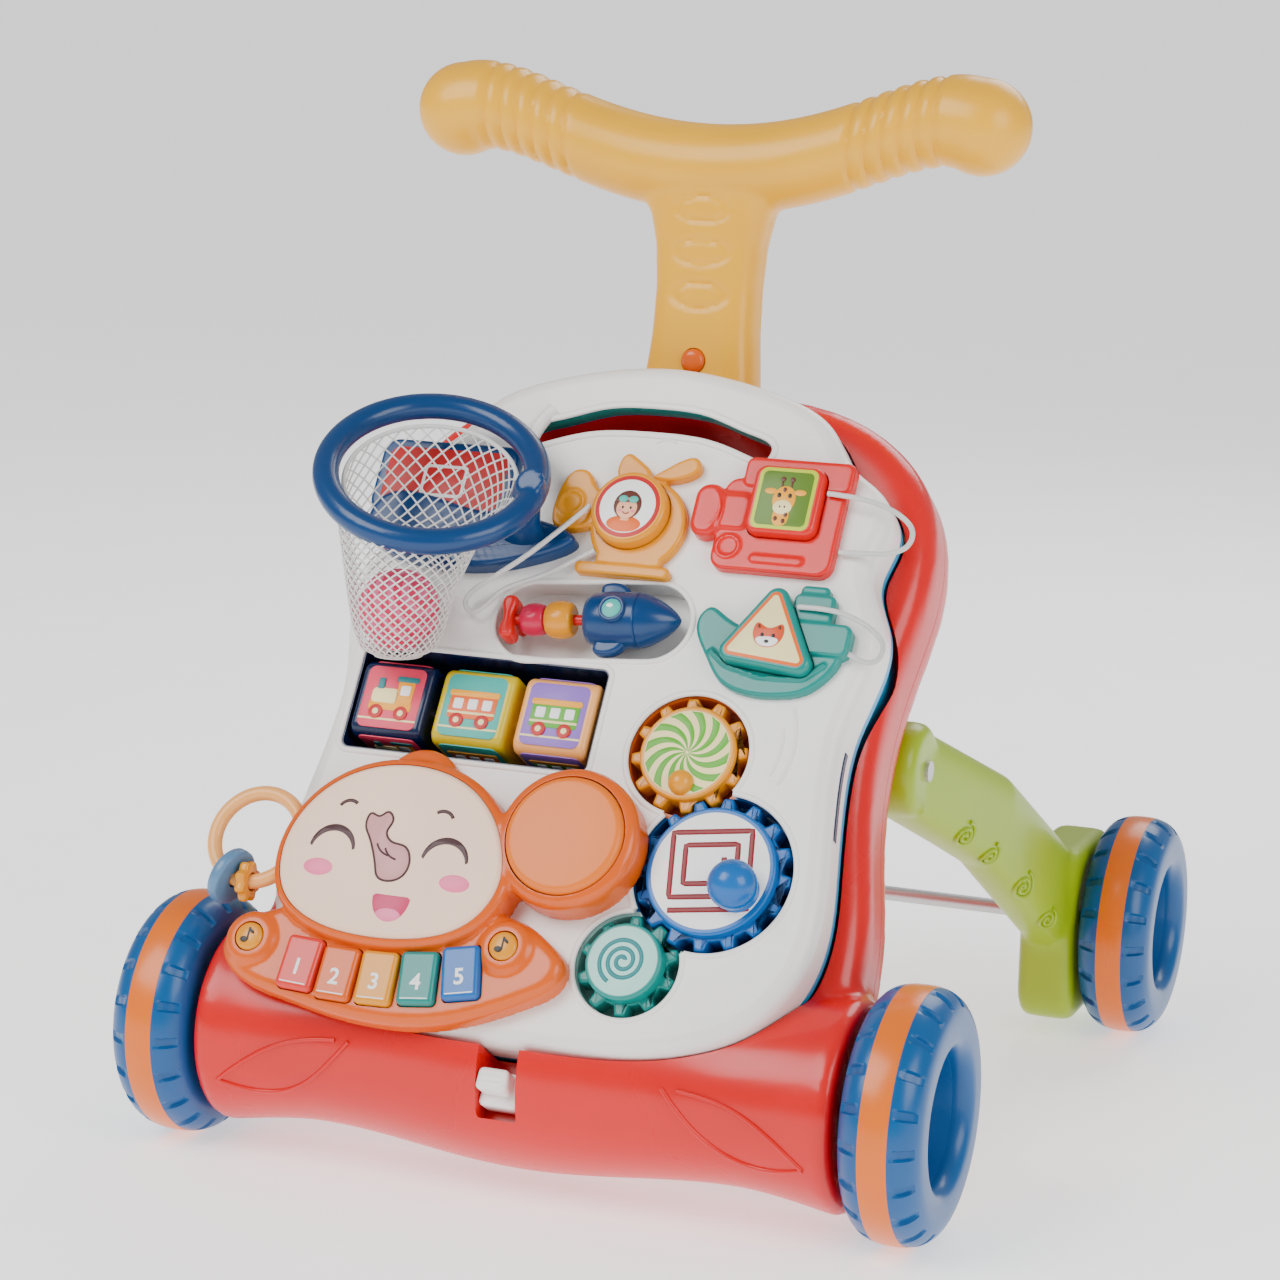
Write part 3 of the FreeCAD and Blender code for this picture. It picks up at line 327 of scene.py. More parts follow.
def with_modifier(mesh, kind, **settings):
    """The mesh as one modifier leaves it."""
    holder = bpy.data.objects.new("holder", mesh)
    bpy.context.scene.collection.objects.link(holder)
    change = holder.modifiers.new("change", kind)
    for key, value in settings.items():
        setattr(change, key, value)
    bpy.context.view_layer.update()
    graph = bpy.context.evaluated_depsgraph_get()
    result = bpy.data.meshes.new_from_object(holder.evaluated_get(graph))
    bpy.data.objects.remove(holder)
    return result


def melted(shape, voxel, smooth=6):
    """Overlapping closed shapes run into one skin, with soft hollows where they meet."""
    mesh = with_modifier(mesh_of("melt", shape), "REMESH", mode="VOXEL", voxel_size=voxel * MM,
                         use_smooth_shade=True)
    return with_modifier(mesh, "SMOOTH", factor=0.5, iterations=smooth)


def carved(mesh, *cutters):
    """Takes closed shapes out of a mesh, one after another."""
    for cutter in cutters:
        tool = bpy.data.objects.new("cutter", mesh_of("cutter", cutter))
        bpy.context.scene.collection.objects.link(tool)
        mesh = with_modifier(mesh, "BOOLEAN", operation="DIFFERENCE", solver="EXACT", object=tool)
        bpy.data.objects.remove(tool)
    return mesh


def halves(mesh, point, normal, gap):
    """Cuts a mesh in two along a plane, closes both cuts, and leaves a hair's gap for the parting line."""
    both = []
    for sign in (1, -1):
        b = bmesh.new()
        b.from_mesh(mesh)
        place = (np.asarray(point) + np.asarray(normal) * sign * gap / 2) * MM
        cut = bmesh.ops.bisect_plane(b, geom=b.verts[:] + b.edges[:] + b.faces[:], plane_co=Vector(place),
                                     plane_no=Vector(normal) * sign, clear_inner=True)
        edges = [e for e in cut["geom_cut"] if isinstance(e, bmesh.types.BMEdge)]
        bmesh.ops.triangle_fill(b, edges=edges, use_beauty=True)
        bmesh.ops.recalc_face_normals(b, faces=b.faces)
        half = bpy.data.meshes.new("half")
        b.to_mesh(half)
        b.free()
        both.append(half)
    return both


# ---- finishes ---------------------------------------------------------------------------
def linear(colour):
    """Screen colour (0 to 255) as the linear share of light that the shader takes."""
    share = np.array(colour) / 255
    return tuple(np.where(share <= 0.04045, share / 12.92, ((share + 0.055) / 1.055) ** 2.4))


def plastic(name, colour, rough=0.3, peel=0.05, grain=260.0, mottle=0.05, coat=0.12):
    """Moulded plastic: faint clouds in the colour, an orange-peel skin and a gloss that varies a little."""
    made = bpy.data.materials.new(name)
    made.use_nodes = True
    nodes, links = made.node_tree.nodes, made.node_tree.links
    shader = nodes["Principled BSDF"]
    shader.inputs["Coat Weight"].default_value = coat
    shader.inputs["Coat Roughness"].default_value = 0.12
    shader.inputs["IOR"].default_value = 1.49
    shader.inputs["Specular IOR Level"].default_value = 0.4
    place = nodes.new("ShaderNodeTexCoord")
    clouds = nodes.new("ShaderNodeTexNoise")
    clouds.inputs["Scale"].default_value = 14.0
    clouds.inputs["Detail"].default_value = 3.0
    links.new(place.outputs["Object"], clouds.inputs["Vector"])
    tones = nodes.new("ShaderNodeValToRGB")
    light = np.array(linear(colour))
    tones.color_ramp.elements[0].position = 0.3
    tones.color_ramp.elements[0].color = (*(light * (1 - mottle)), 1)
    tones.color_ramp.elements[1].position = 0.7
    tones.color_ramp.elements[1].color = (*np.minimum(light * (1 + mottle), 1), 1)
    links.new(clouds.outputs["Fac"], tones.inputs["Fac"])
    links.new(tones.outputs["Color"], shader.inputs["Base Color"])
    gloss = nodes.new("ShaderNodeMapRange")
    gloss.inputs["To Min"].default_value = rough - 0.05
    gloss.inputs["To Max"].default_value = rough + 0.07
    links.new(clouds.outputs["Fac"], gloss.inputs["Value"])
    links.new(gloss.outputs["Result"], shader.inputs["Roughness"])
    skin = nodes.new("ShaderNodeTexNoise")
    skin.inputs["Scale"].default_value = grain
    skin.inputs["Detail"].default_value = 2.0
    links.new(place.outputs["Object"], skin.inputs["Vector"])
    bump = nodes.new("ShaderNodeBump")
    bump.inputs["Strength"].default_value = peel
    bump.inputs["Distance"].default_value = 0.0008
    links.new(skin.outputs["Fac"], bump.inputs["Height"])
    links.new(bump.outputs["Normal"], shader.inputs["Normal"])
    return made


def steel(name):
    """Drawn steel rod: fine lines along X and a bright, slightly rough metal."""
    made = plastic(name, (190, 190, 195), rough=0.3, coat=0.0, peel=0.1)
    nodes, links = made.node_tree.nodes, made.node_tree.links
    nodes["Principled BSDF"].inputs["Metallic"].default_value = 1.0
    stretch = nodes.new("ShaderNodeMapping")
    stretch.inputs["Scale"].default_value = (0.2, 6.0, 6.0)
    links.new(nodes["Texture Coordinate"].outputs["Object"], stretch.inputs["Vector"])
    links.new(stretch.outputs["Vector"], nodes["Noise Texture.001"].inputs["Vector"])
    return made


def woven(name, colour, turns):
    """Twisted thread: bands run round the cord along its own U and V, the thread's own colour on the crown
    and painted shade between.
    """
    made = bpy.data.materials.new(name)
    made.use_nodes = True
    nodes, links = made.node_tree.nodes, made.node_tree.links
    shader = nodes["Principled BSDF"]
    shader.inputs["Roughness"].default_value = 0.8
    shader.inputs["Sheen Weight"].default_value = 0.3
    place = nodes.new("ShaderNodeTexCoord")
    stretch = nodes.new("ShaderNodeMapping")
    stretch.inputs["Scale"].default_value = (turns, 1.0, 1.0)
    stretch.inputs["Rotation"].default_value = (0, 0, radians(20))
    links.new(place.outputs["UV"], stretch.inputs["Vector"])
    bands = nodes.new("ShaderNodeTexWave")
    bands.inputs["Scale"].default_value = 2.0
    links.new(stretch.outputs["Vector"], bands.inputs["Vector"])
    tones = nodes.new("ShaderNodeValToRGB")
    light = np.array(linear(colour))
    # the ramp's dark end, 0.72 of the colour, is painted shade in the grooves between the twists
    tones.color_ramp.elements[0].color = (*(light * 0.72), 1)
    tones.color_ramp.elements[1].color = (*light, 1)
    links.new(bands.outputs["Fac"], tones.inputs["Fac"])
    links.new(tones.outputs["Color"], shader.inputs["Base Color"])
    bump = nodes.new("ShaderNodeBump")
    bump.inputs["Strength"].default_value = 0.6
    bump.inputs["Distance"].default_value = 0.0004
    links.new(bands.outputs["Fac"], bump.inputs["Height"])
    links.new(bump.outputs["Normal"], shader.inputs["Normal"])
    return made


MOULDED = {
    "red": ((214, 6, 12), 0.26), "yellow": ((238, 172, 0), 0.34), "white": ((242, 240, 236), 0.32),
    "sky": ((30, 150, 200), 0.3), "blue": ((0, 80, 140), 0.33), "leaf": ((150, 178, 0), 0.34),
    "orange": ((222, 92, 0), 0.25), "peach": ((252, 176, 96), 0.3), "amber": ((230, 148, 0), 0.25),
    "navy": ((0, 56, 108), 0.25), "lime": ((214, 190, 0), 0.28), "teal": ((0, 132, 124), 0.25),
    # the orange-brown (206, 98, 20) is the yellow gear pocket's amber darkened with painted shade of the deep
    # pocket
    "coral": ((226, 48, 40), 0.25), "cream": ((252, 212, 184), 0.38), "rust": ((206, 98, 20), 0.4),
    "tangerine": ((228, 108, 0), 0.28), "mango": ((236, 116, 4), 0.4), "ink_blue": ((2, 26, 66), 0.25),
    "gear_blue": ((0, 98, 176), 0.25), "gear_teal": ((0, 136, 128), 0.28), "grey_blue": ((84, 126, 164), 0.3),
    "pink_ball": ((236, 50, 100), 0.35), "magenta": ((204, 0, 66), 0.25), "poppy": ((220, 12, 12), 0.25),
    "board_green": ((40, 110, 66), 0.5), "pale_teal": ((176, 220, 214), 0.4),
}
INKS = {
    "print_dark": (58, 10, 20), "print_pink": (250, 112, 156), "print_trunk": (206, 146, 146),
    "print_mouth": (206, 44, 98), "print_tongue": (248, 122, 164), "print_white": (250, 250, 248),
    "print_cream": (250, 236, 168), "print_teal": (48, 176, 164),
    "print_rose": (228, 62, 94), "print_violet": (140, 100, 196), "print_orange": (236, 100, 6),
    "print_red": (194, 18, 20), "print_maroon": (132, 6, 22), "print_black": (16, 12, 16),
    "print_sea": (0, 122, 126), "print_mint": (168, 224, 212), "print_olive": (88, 124, 30),
    "print_lime": (192, 212, 40), "print_skin": (248, 178, 136), "print_brown": (92, 36, 20),
    "print_gold": (248, 166, 10), "print_leaf": (84, 172, 28), "print_fox": (216, 74, 16),
}


# ---- settings ---------------------------------------------------------------------------
class WalkerSizes(bpy.types.PropertyGroup):
    """Sizes that a user would change."""
    tread_slots: bpy.props.IntProperty(name="Tread slots", description="Slots on each side of a tyre",
                                       default=20)
    tread_depth: bpy.props.FloatProperty(name="Tread depth", description="Depth of a tread slot",
                                         default=0.0016,
                                         unit="LENGTH", subtype="DISTANCE")
    grip_grooves: bpy.props.IntProperty(name="Grip grooves", description="Grooves on each grip", default=6)
    net_cells: bpy.props.IntProperty(name="Net cells", description="Diamonds round the net", default=30)
    net_rows: bpy.props.IntProperty(name="Net rows", description="Rows of diamonds down the net", default=22)
    net_thread: bpy.props.FloatProperty(name="Net thread", description="Width of the net's thread",
                                        default=0.0009, unit="LENGTH", subtype="DISTANCE")
    string_width: bpy.props.FloatProperty(name="String width", description="Width of the white strings",
                                          default=0.0025, unit="LENGTH", subtype="DISTANCE")


class WalkerLight(bpy.types.PropertyGroup):
    """The studio round the walker."""
    key_power: bpy.props.FloatProperty(name="Key light", description="Power of the large front light",
                                       default=40.0,
                                       subtype="POWER")
    fill_power: bpy.props.FloatProperty(name="Fill light", description="Power of the side light",
                                        default=20.0,
                                        subtype="POWER")
    sky: bpy.props.FloatProperty(name="Room light", description="Strength of the even light from all round",
                                 default=0.42)
    backdrop: bpy.props.FloatProperty(name="Backdrop", description="Brightness of the room behind the floor",
                                      default=1.55)
    floor_glow: bpy.props.FloatProperty(name="Floor glow", description="Light that the floor gives by itself",
                                        default=0.85)
    floor_colour: bpy.props.FloatVectorProperty(name="Floor", description="Colour of the floor",
                                                default=(0.93, 0.93, 0.93), subtype="COLOR", size=3)


def sizes():
    return bpy.context.scene.walker_sizes


# ---- outlines that match the frame's own ---------------------------------------------------
PANEL_EDGE = [(0, 5), (60, 8), (88, 15), (108, 25), (121, 38), (131, 58), (134, 82), (131, 112), (127, 145),
              (127, 175), (133, 205), (132, 228), (123, 252), (127, 276), (119, 292), (103, 304), (88, 324),
              (61, 339), (30, 347), (0, 350)]
BOARD_EDGE = [(0, 0), (110, 0), (146, 12), (149, 40), (147, 90), (138, 135), (134, 170), (136, 215),
              (141, 255), (139, 285), (128, 313), (107, 334), (77, 348), (40, 354), (0, 356)]
SLOT_EDGE = [(0, 311), (30, 309), (52, 302), (61, 301), (64, 308), (50, 317), (26, 325), (0, 327)]
FACE_EDGE = [(-67, 125.5), (-37, 118), (-18, 99), (-11.5, 72), (-21, 54), (-45, 43), (-72, 41), (-100, 46),
             (-116, 57), (-122.3, 75), (-117, 98), (-99, 117)]
CRESCENT_EDGE = [(-143.5, 30), (-137, 20), (-112, 11), (-85, 6), (-60, 4), (-33, 6), (-8, 14), (12, 24),
                 (24, 34), (25, 43), (16, 52), (4, 59), (-12, 62), (-40, 60), (-100, 58), (-125, 50),
                 (-139, 42)]
HULL_EDGE = [(48, 220), (52, 224), (59, 221), (86, 214), (112, 213), (119, 206), (114, 193), (105, 185.5),
             (92, 182.5), (78, 182.5), (65, 187), (55, 199)]
SHELF_EDGE = [(-22, 250), (-44, 259), (-80, 262), (-128, 262), (-130, 245), (-110, 234), (-75, 231),
              (-42, 238)]
KEYS = [(-99.5, 25.5, -3), (-80, 23.2, -1), (-60.2, 23.5, 2), (-40.2, 26, 7), (-20.3, 31.2, 12)]
BUTTONS = {"left_button": (-128.0, 34.5), "right_button": (-3.0, 46.0)}
EAR = (14.5, 100.0)
# each string's route on the panel: across, up the slope and out of the face, in millimetres
STRINGS = {
    "helicopter_string": [(-18.2, 268, 8), (-23, 258, 12.5), (-30, 248, 15), (-38.5, 238.5, 15),
                          (-48, 231, 13.5), (-58, 225, 10), (-67, 220, 7), (-71, 213, 5.5),
                          (-65, 208, 5), (-58.5, 213.5, 5.5), (-53, 222, 5.5), (-43.5, 227, 5),
                          (-33.5, 232, 4.5), (-23.5, 239, 4), (-12.5, 247.2, 3.5)],
    "camera_string": [(97.5, 284, 8), (109, 283, 9), (121, 281, 9), (133, 277, 8), (142, 270, 7),
                      (141, 261, 6), (131, 257, 5), (119, 257, 4.5), (107.5, 257, 3)],
    "boat_string": [(95.5, 226, 8), (108, 226, 9), (120, 224, 9), (132, 219, 8), (140, 212, 7),
                    (138, 203, 6), (129, 203, 5), (119.2, 209, 3)],
}


def gear_centre(name):
    joint = np.array(JOINTS[name + "_gear_spin"]["pos_m"]) / MM
    return ((joint - PANEL_ORIGIN) @ PANEL_AXES.T)[:2]


GEAR_TEETH = {"yellow": 12, "blue": 16, "teal": 10}
GEAR_CENTRES = {name: gear_centre(name) for name in GEAR_TEETH}
GEAR_MODULE = 2 * np.linalg.norm(GEAR_CENTRES["blue"] - GEAR_CENTRES["yellow"]) / 28


# ---- camera, light and floor -----------------------------------------------------------------
CAMERA_PLACE = (0.579602, -1.532811, 0.532343)
# yaw round the walker, pitch down to it and roll about the line of sight, in radians
CAMERA_TURN = (0.376390838, 0.185543576, 0.0245421632)
CAMERA_LENS = 93.5
FLOOR_REACH, FLOOR_LEVEL = 30.0, -0.0004


class WALKER_OT_stage(bpy.types.Operator):
    """Sets the camera, the soft studio light and the pale floor"""
    bl_idname = "walker.stage"
    bl_label = "Stage"

    def execute(self, context):
        look = context.scene.walker_light
        yaw, pitch, roll = CAMERA_TURN
        back = Vector((sin(yaw) * cos(pitch), -cos(yaw) * cos(pitch), sin(pitch)))
        right = Vector((0, 0, 1)).cross(back).normalized()
        upward = back.cross(right)
        right, upward = right * cos(roll) + upward * sin(roll), upward * cos(roll) - right * sin(roll)
        lens = bpy.data.cameras.new("camera")
        lens.lens = CAMERA_LENS
        lens.sensor_width = 36.0
        lens.clip_start = 0.05
        camera = bpy.data.objects.new("camera", lens)
        turn = Matrix((right, upward, back)).transposed().to_4x4()
        camera.matrix_world = Matrix.Translation(CAMERA_PLACE) @ turn
        context.scene.collection.objects.link(camera)
        context.scene.camera = camera
        world = bpy.data.worlds.new("room")
        world.use_nodes = True
        world.node_tree.nodes["Background"].inputs["Color"].default_value = (1, 1, 1, 1)
        world.node_tree.nodes["Background"].inputs["Strength"].default_value = look.sky
        nodes, links = world.node_tree.nodes, world.node_tree.links
        seen, ray, share = (nodes.new("ShaderNodeBackground"), nodes.new("ShaderNodeLightPath"),
                            nodes.new("ShaderNodeMixShader"))
        seen.inputs["Strength"].default_value = look.backdrop
        links.new(ray.outputs["Is Camera Ray"], share.inputs["Fac"])
        links.new(nodes["Background"].outputs["Background"], share.inputs[1])
        links.new(seen.outputs["Background"], share.inputs[2])
        links.new(share.outputs["Shader"], nodes["World Output"].inputs["Surface"])
        context.scene.world = world
        for name, place, size, power in (("key", (-0.9, -1.5, 1.7), 1.3, look.key_power),
                                         ("fill", (1.7, -0.9, 1.1), 1.1, look.fill_power),
                                         ("back", (0.3, 1.6, 1.6), 1.2, look.fill_power)):
            lamp = bpy.data.lights.new(name, "AREA")
            lamp.size = size
            lamp.energy = power
            light = bpy.data.objects.new(name, lamp)
            light.location = place
            light.rotation_mode = "QUATERNION"
            light.rotation_quaternion = (Vector((0, 0, 0.2)) - Vector(place)).to_track_quat("-Z", "Y")
            context.scene.collection.objects.link(light)
        floor_mesh = bpy.data.meshes.new("floor")
        corners = [(x * FLOOR_REACH, y * FLOOR_REACH, FLOOR_LEVEL) for x,
                   y in ((-1, -1), (1, -1), (1, 1), (-1, 1))]
        floor_mesh.from_pydata(corners, [], [(0, 1, 2, 3)])
        paint = plastic("floor_paint", (9, 9, 9), rough=0.8, coat=0.0, peel=0.0)
        for element, shade in zip(paint.node_tree.nodes["Color Ramp"].color_ramp.elements, (0.98, 1.02)):
            element.color = (*[share * shade for share in look.floor_colour], 1)
        paint.node_tree.nodes["Principled BSDF"].inputs["Emission Color"].default_value = (1, 1, 1, 1)
        paint.node_tree.nodes["Principled BSDF"].inputs["Emission Strength"].default_value = look.floor_glow
        floor_mesh.materials.append(paint)
        floor = bpy.data.objects.new("floor", floor_mesh)
        context.scene.collection.objects.link(floor)
        return {"FINISHED"}


class WALKER_OT_finishes(bpy.types.Operator):
    """Mixes every plastic, ink, metal and thread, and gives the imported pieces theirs"""
    bl_idname = "walker.finishes"
    bl_label = "Finishes"

    def execute(self, context):
        for name, (colour, rough) in MOULDED.items():
            plastic(name, colour, rough)
        for name, colour in INKS.items():
            plastic(name, colour, rough=0.42, peel=0.02, grain=900, mottle=0.04, coat=0.1)
        steel("steel")
        woven("string_thread", (248, 248, 246), 60.0)
        woven("net_thread", (250, 250, 248), 12.0)
        dress = {"white": ["panel_front_shell", "panel_latch"], "sky": ["panel_back_shell", "battery_door"],
                 "steel": ["front_axle", "rear_axle", "leg_pivot_rod", "frame_screws", "block_shaft"],
                 "board_green": ["sound_module"], "ink_blue": ["block_tray"]}
        for finish, nodes in dress.items():
            for node in nodes:
                mesh = frame["nodes"][node].data
                mesh.materials.clear()
                mesh.materials.append(bpy.data.materials[finish])
        return {"FINISHED"}


class WALKER_OT_strings(bpy.types.Operator):
    """Lays the three white strings along their routes"""
    bl_idname = "walker.strings"
    bl_label = "Strings"

    def execute(self, context):
        for name, route in STRINGS.items():
            curve = bpy.data.curves.new(name, "CURVE")
            curve.dimensions = "3D"
            curve.bevel_depth = sizes().string_width / 2
            curve.bevel_resolution = 4
            curve.resolution_u = 12
            curve.use_fill_caps = True
            spline = curve.splines.new("NURBS")
            points = to_world(np.array(route)) * MM
            spline.points.add(len(points) - 1)
            spline.points.foreach_set("co", np.concatenate([points, np.ones((len(points), 1))], 1).ravel())
            spline.order_u = 3
            spline.use_endpoint_u = True
            cord = bpy.data.objects.new(name + "_cord", curve)
            context.scene.collection.objects.link(cord)
            curve.materials.append(bpy.data.materials["string_thread"])
            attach(cord, "play_panel")
            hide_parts(name)
        return {"FINISHED"}


# ---- wheels ---------------------------------------------------------------------------------
def tyre(slots, depth):
    """A tyre as a grid: round it by angle, across it by profile. The radius falls by the slot depth where
    the angle is inside a slot and the place across is on a shoulder; both edges are eased."""
    half, outer, corner = 19.0, WHEEL_RADIUS - 0.5, 14.0
    a = np.radians(np.linspace(0, 90, 14))
    shoulder = np.stack([half - corner + corner * np.sin(a), outer - corner + corner * np.cos(a)], 1)
    tread = np.stack([np.linspace(0, half - corner, 8)[:-1], np.full(7, outer)], 1)
    b = np.radians(np.linspace(0, 90, 8))
    lip = np.stack([half - 9 + 9 * np.cos(b), 37.5 - 7.5 * np.sin(b)], 1)
    right = np.concatenate([tread, shoulder, lip])
    left = right[::-1] * (-1, 1)
    profile = np.concatenate([left, right[1:]])
    across, radius = profile[:, 0], profile[:, 1]
    count = slots * 20
    angle = np.linspace(0, 2 * pi, count, endpoint=False)
    wave = 0.5 + 0.5 * np.cos(slots * angle)
    in_slot = np.clip((wave - 0.80) / 0.08, 0, 1)
    reach = np.clip((np.abs(across) - 8.0) / 1.0, 0, 1) * np.clip((17.2 - np.abs(across)) / 1.0, 0, 1)
    reach = reach * (radius > 45)
    fall = depth * in_slot[:, None] * reach[None]
    r = radius[None] - fall
    x = across[None] - fall * 0.5 * np.sign(across)[None] * (np.abs(across)[None] > 10)
    points = np.stack([x, r * np.cos(angle)[:, None], r * np.sin(angle)[:, None]], -1)
    return points


def wheel(side, slots, depth):
    """Tyre skin, deep bowl outside, web and hub, and a shallower bowl inside, as one closed shell."""
    points = tyre(slots, depth)
    count = points.shape[0]
    angle = np.linspace(0, 2 * pi, count, endpoint=False)
    bowl = np.array([(10, 29.6), (6, 28.8), (-1, 27.6), (-4.2, 26.4), (-5, 24), (-5, 15), (-4.5, 12.5),
                     (-2, 11.5),
                     (-2, 4.2), (-13, 4.2), (-13, 24), (-13.6, 27), (-16, 29.5)])
    inner = np.stack([np.repeat(bowl[None, :, 0], count, 0), bowl[None, :, 1] * np.cos(angle)[:, None],
                      bowl[None, :, 1] * np.sin(angle)[:, None]], -1)
    whole = np.concatenate([points, inner], 1)
    whole[..., 0] *= side
    return grid(whole, close_rows=True, close_columns=True)


class WALKER_OT_wheels(bpy.types.Operator):
    """Makes four fat tyres with their bands, hubs and caps"""
    bl_idname = "walker.wheels"
    bl_label = "Wheels"

    def execute(self, context):
        depth = sizes().tread_depth / MM
        caps = {"front": [], "rear": []}
        for name in ("front_wheel_left", "front_wheel_right", "rear_wheel_left", "rear_wheel_right"):
            side = -1 if name.endswith("left") else 1
            centre = np.array(JOINTS[name + "_spin"]["pos_m"]) / MM
            place = lambda points: points + centre
            piece(name + "_tyre", name, moved(wheel(side, sizes().tread_slots, depth), place), "blue",
                  replaces=name, slot="blue_plastic")
            band = [(-7.2, 54.0), (-7.2, 56.6), (-6.6, 57.5), (-4, 57.9), (0, 58.0), (4, 57.9), (6.6, 57.5),
                    (7.2, 56.6), (7.2, 54.0)]
            piece(name + "_band", name, moved(turned(band, 144, ring=True), place), "tangerine")
            spokes = [moved(ribbon(line((0, 12.0, 0), (0, 24.0, 0), count=6), (1, 0, 0), 3.0, 1.6),
                            lambda p, t=t: p @ np.array(Matrix.Rotation(t, 3, "X")).T + centre
                            + (side * -5.0, 0, 0)) for t in np.linspace(0, 2 * pi, 8, endpoint=False)]
            piece(name + "_spokes", name, joined(*spokes), "blue")
            cap = [(-1.4, 8.0), (3.6, 8.0), (5.2, 7.2), (6.2, 5.2), (6.6, 2.6), (6.7, 0.4)]
            caps[name.split("_")[0]].append(moved(turned([(side * x, r) for x, r in cap], 48), place))
        piece("front_caps", "frame", joined(*caps["front"]), "white", replaces="front_axle_caps")
        piece("rear_caps", "rear_legs", joined(*caps["rear"]), "white", replaces="rear_axle_caps")
        return {"FINISHED"}


# ---- frame ----------------------------------------------------------------------------------
def foot_radius(x, end=156.5):
    """The foot tube's radius: full in the middle, a waist at 105 mm and flared at both ends."""
    lift = np.clip((np.abs(x) - 105) / (end - 105), 0, 1) ** 1.5
    middle = 43.0 + 7.5 * (0.5 + 0.5 * np.cos(pi * x / 105))
    return np.where(np.abs(x) > 105, 43.0 + 7.0 * lift, middle)


def axle_on_panel():
    """The front axle in the panel's own axes, up the slope and out of the face."""
    place = (np.array([0, FRONT_AXLE_Y, WHEEL_RADIUS]) - PANEL_ORIGIN) @ PANEL_AXES.T
    return place[1], place[2]


def foot_tube():
    """The foot tube turned about the axle's line, each end rounded over 5 mm."""
    end, edge = 156.5, 5.0
    a = np.linspace(0, pi / 2, 7)
    x = np.linspace(-end + edge, end - edge, 90)
    middle = np.stack([x, foot_radius(x)], 1)
    rim = middle[-1, 1]
    right = np.stack([end - edge + edge * np.sin(a), rim - edge + edge * np.cos(a)], 1)[1:]
    left = right[::-1] * (-1, 1)
    s, h = axle_on_panel()
    return moved(turned(np.concatenate([left, middle, right]), 120), lambda p: p + (0, s, h))


def on_foot(x, angle, height):
    """A place on the foot tube: along it, round it from the panel's face downward, and proud of it."""
    s, h = axle_on_panel()
    r = foot_radius(np.asarray(x, float)) + height
    return np.stack([x, s - r * np.sin(angle), h + r * np.cos(angle)], -1)


class WALKER_OT_frame(bpy.types.Operator):
    """Moulds the red frame in two shells round the dock for the play panel"""
    bl_idname = "walker.frame"
    bl_label = "Frame"

    def execute(self, context):
        board = pillow(loop(mirrored(BOARD_EDGE), 260), -74, -27, top=13, bottom=8)
        skin = melted(moved(joined(board, foot_tube()), to_world), 2.6, smooth=10)
        dock = pillow(grown(loop(mirrored(PANEL_EDGE), 260), 1.0), -50, 40, top=0.5)
        window = pillow(rounded_rectangle(-9.8, -25.3, 9.8, 10, 1.5), -26.3, 30, top=0.5)
        skin = carved(skin, moved(dock, to_world), moved(window, to_world))
        front, back = halves(skin, to_world(np.array([0, 0, -57.0])), OUT, 0.5)
        show(front, "frame_front_skin", "frame", "red", replaces="frame_front_shell", slot="red_plastic")
        lugs = [self.lug(side) for side in (-1, 1)]
        show(back, "frame_back_skin", "frame", "red", replaces="frame_back_shell", slot="red_plastic")
        piece("frame_pivot_lugs", "frame", joined(*lugs), "red")
        self.contours()
        return {"FINISHED"}

    def lug(self, side):
        """An ear behind the board, round where the rod passes through it."""
        pivot = np.array(JOINTS["leg_fold"]["pos_m"]) / MM
        local = (pivot - PANEL_ORIGIN) @ PANEL_AXES.T
        root = np.array([local[1], -70.0])
        ring = soft_polygon([(root[0] - 26, root[1]), (local[1] - 15, local[2] + 4),
                             (local[1] - 11, local[2] - 12),
                             (local[1] + 11, local[2] - 12), (local[1] + 15, local[2] + 4),
                             (root[0] + 26, root[1])], 3)
        low, high = sorted((side * 96.0, side * 108.0))
        return moved(pillow(ring, low, high, top=2.5, bottom=2.5),
                     lambda p: to_world(np.stack([p[:, 2], p[:, 0], p[:, 1]], 1)))

    def contours(self):
        """Raised lines on both ends of the foot: two that swing apart and meet again, as a leaf's edges."""
        ridges = []
        for side in (-1, 1):
            for grow in (0.0, 1.0):
                t = np.linspace(0, 1, 40)
                x = side * (84 + 60 * t - grow * 7 * (1 - t))
                swing = np.radians(20 + 34 * t + (14 + 8 * grow) * np.sin(pi * t) * (1 if grow else -0.6))
                path = on_foot(x, swing, 0.1)
                ridges.append(ribbon(to_world(path), OUT, 2.2, 1.1))
        piece("frame_contours", "frame", joined(*ridges), "red")


# ---- handle -----------------------------------------------------------------------------------
GRIP_LINE = [(-136, 19.5, 484), (-88, 19.5, 478), (-44, 21.5, 464), (0, 22.5, 459), (44, 21.5, 464),
             (88, 19.5, 478), (136, 19.5, 484)]


def grip_path(count=160):
    """The gull-wing line of the grips: smooth polynomials fitted to its points."""
    p = np.array(GRIP_LINE, float)
    x = np.linspace(p[0, 0], p[-1, 0], count)
    fit = np.polynomial.polynomial.Polynomial.fit(p[:, 0], p[:, 2], 6)
    depth = np.polynomial.polynomial.Polynomial.fit(p[:, 0], p[:, 1], 4)
    return np.stack([x, depth(x), fit(x)], 1)


def superellipse(centre, width, depth, count=48, power=0.55):
    """A rounded-square section: each coordinate is a cosine or sine with its size raised to a power."""
    a = np.linspace(0, 2 * pi, count, endpoint=False)
    c, s = np.cos(a), np.sin(a)
    x = width / 2 * np.sign(c) * np.abs(c) ** power
    y = depth / 2 * np.sign(s) * np.abs(s) ** power
    return np.stack([centre[0] + x, centre[1] + y, np.full(count, centre[2])], 1)


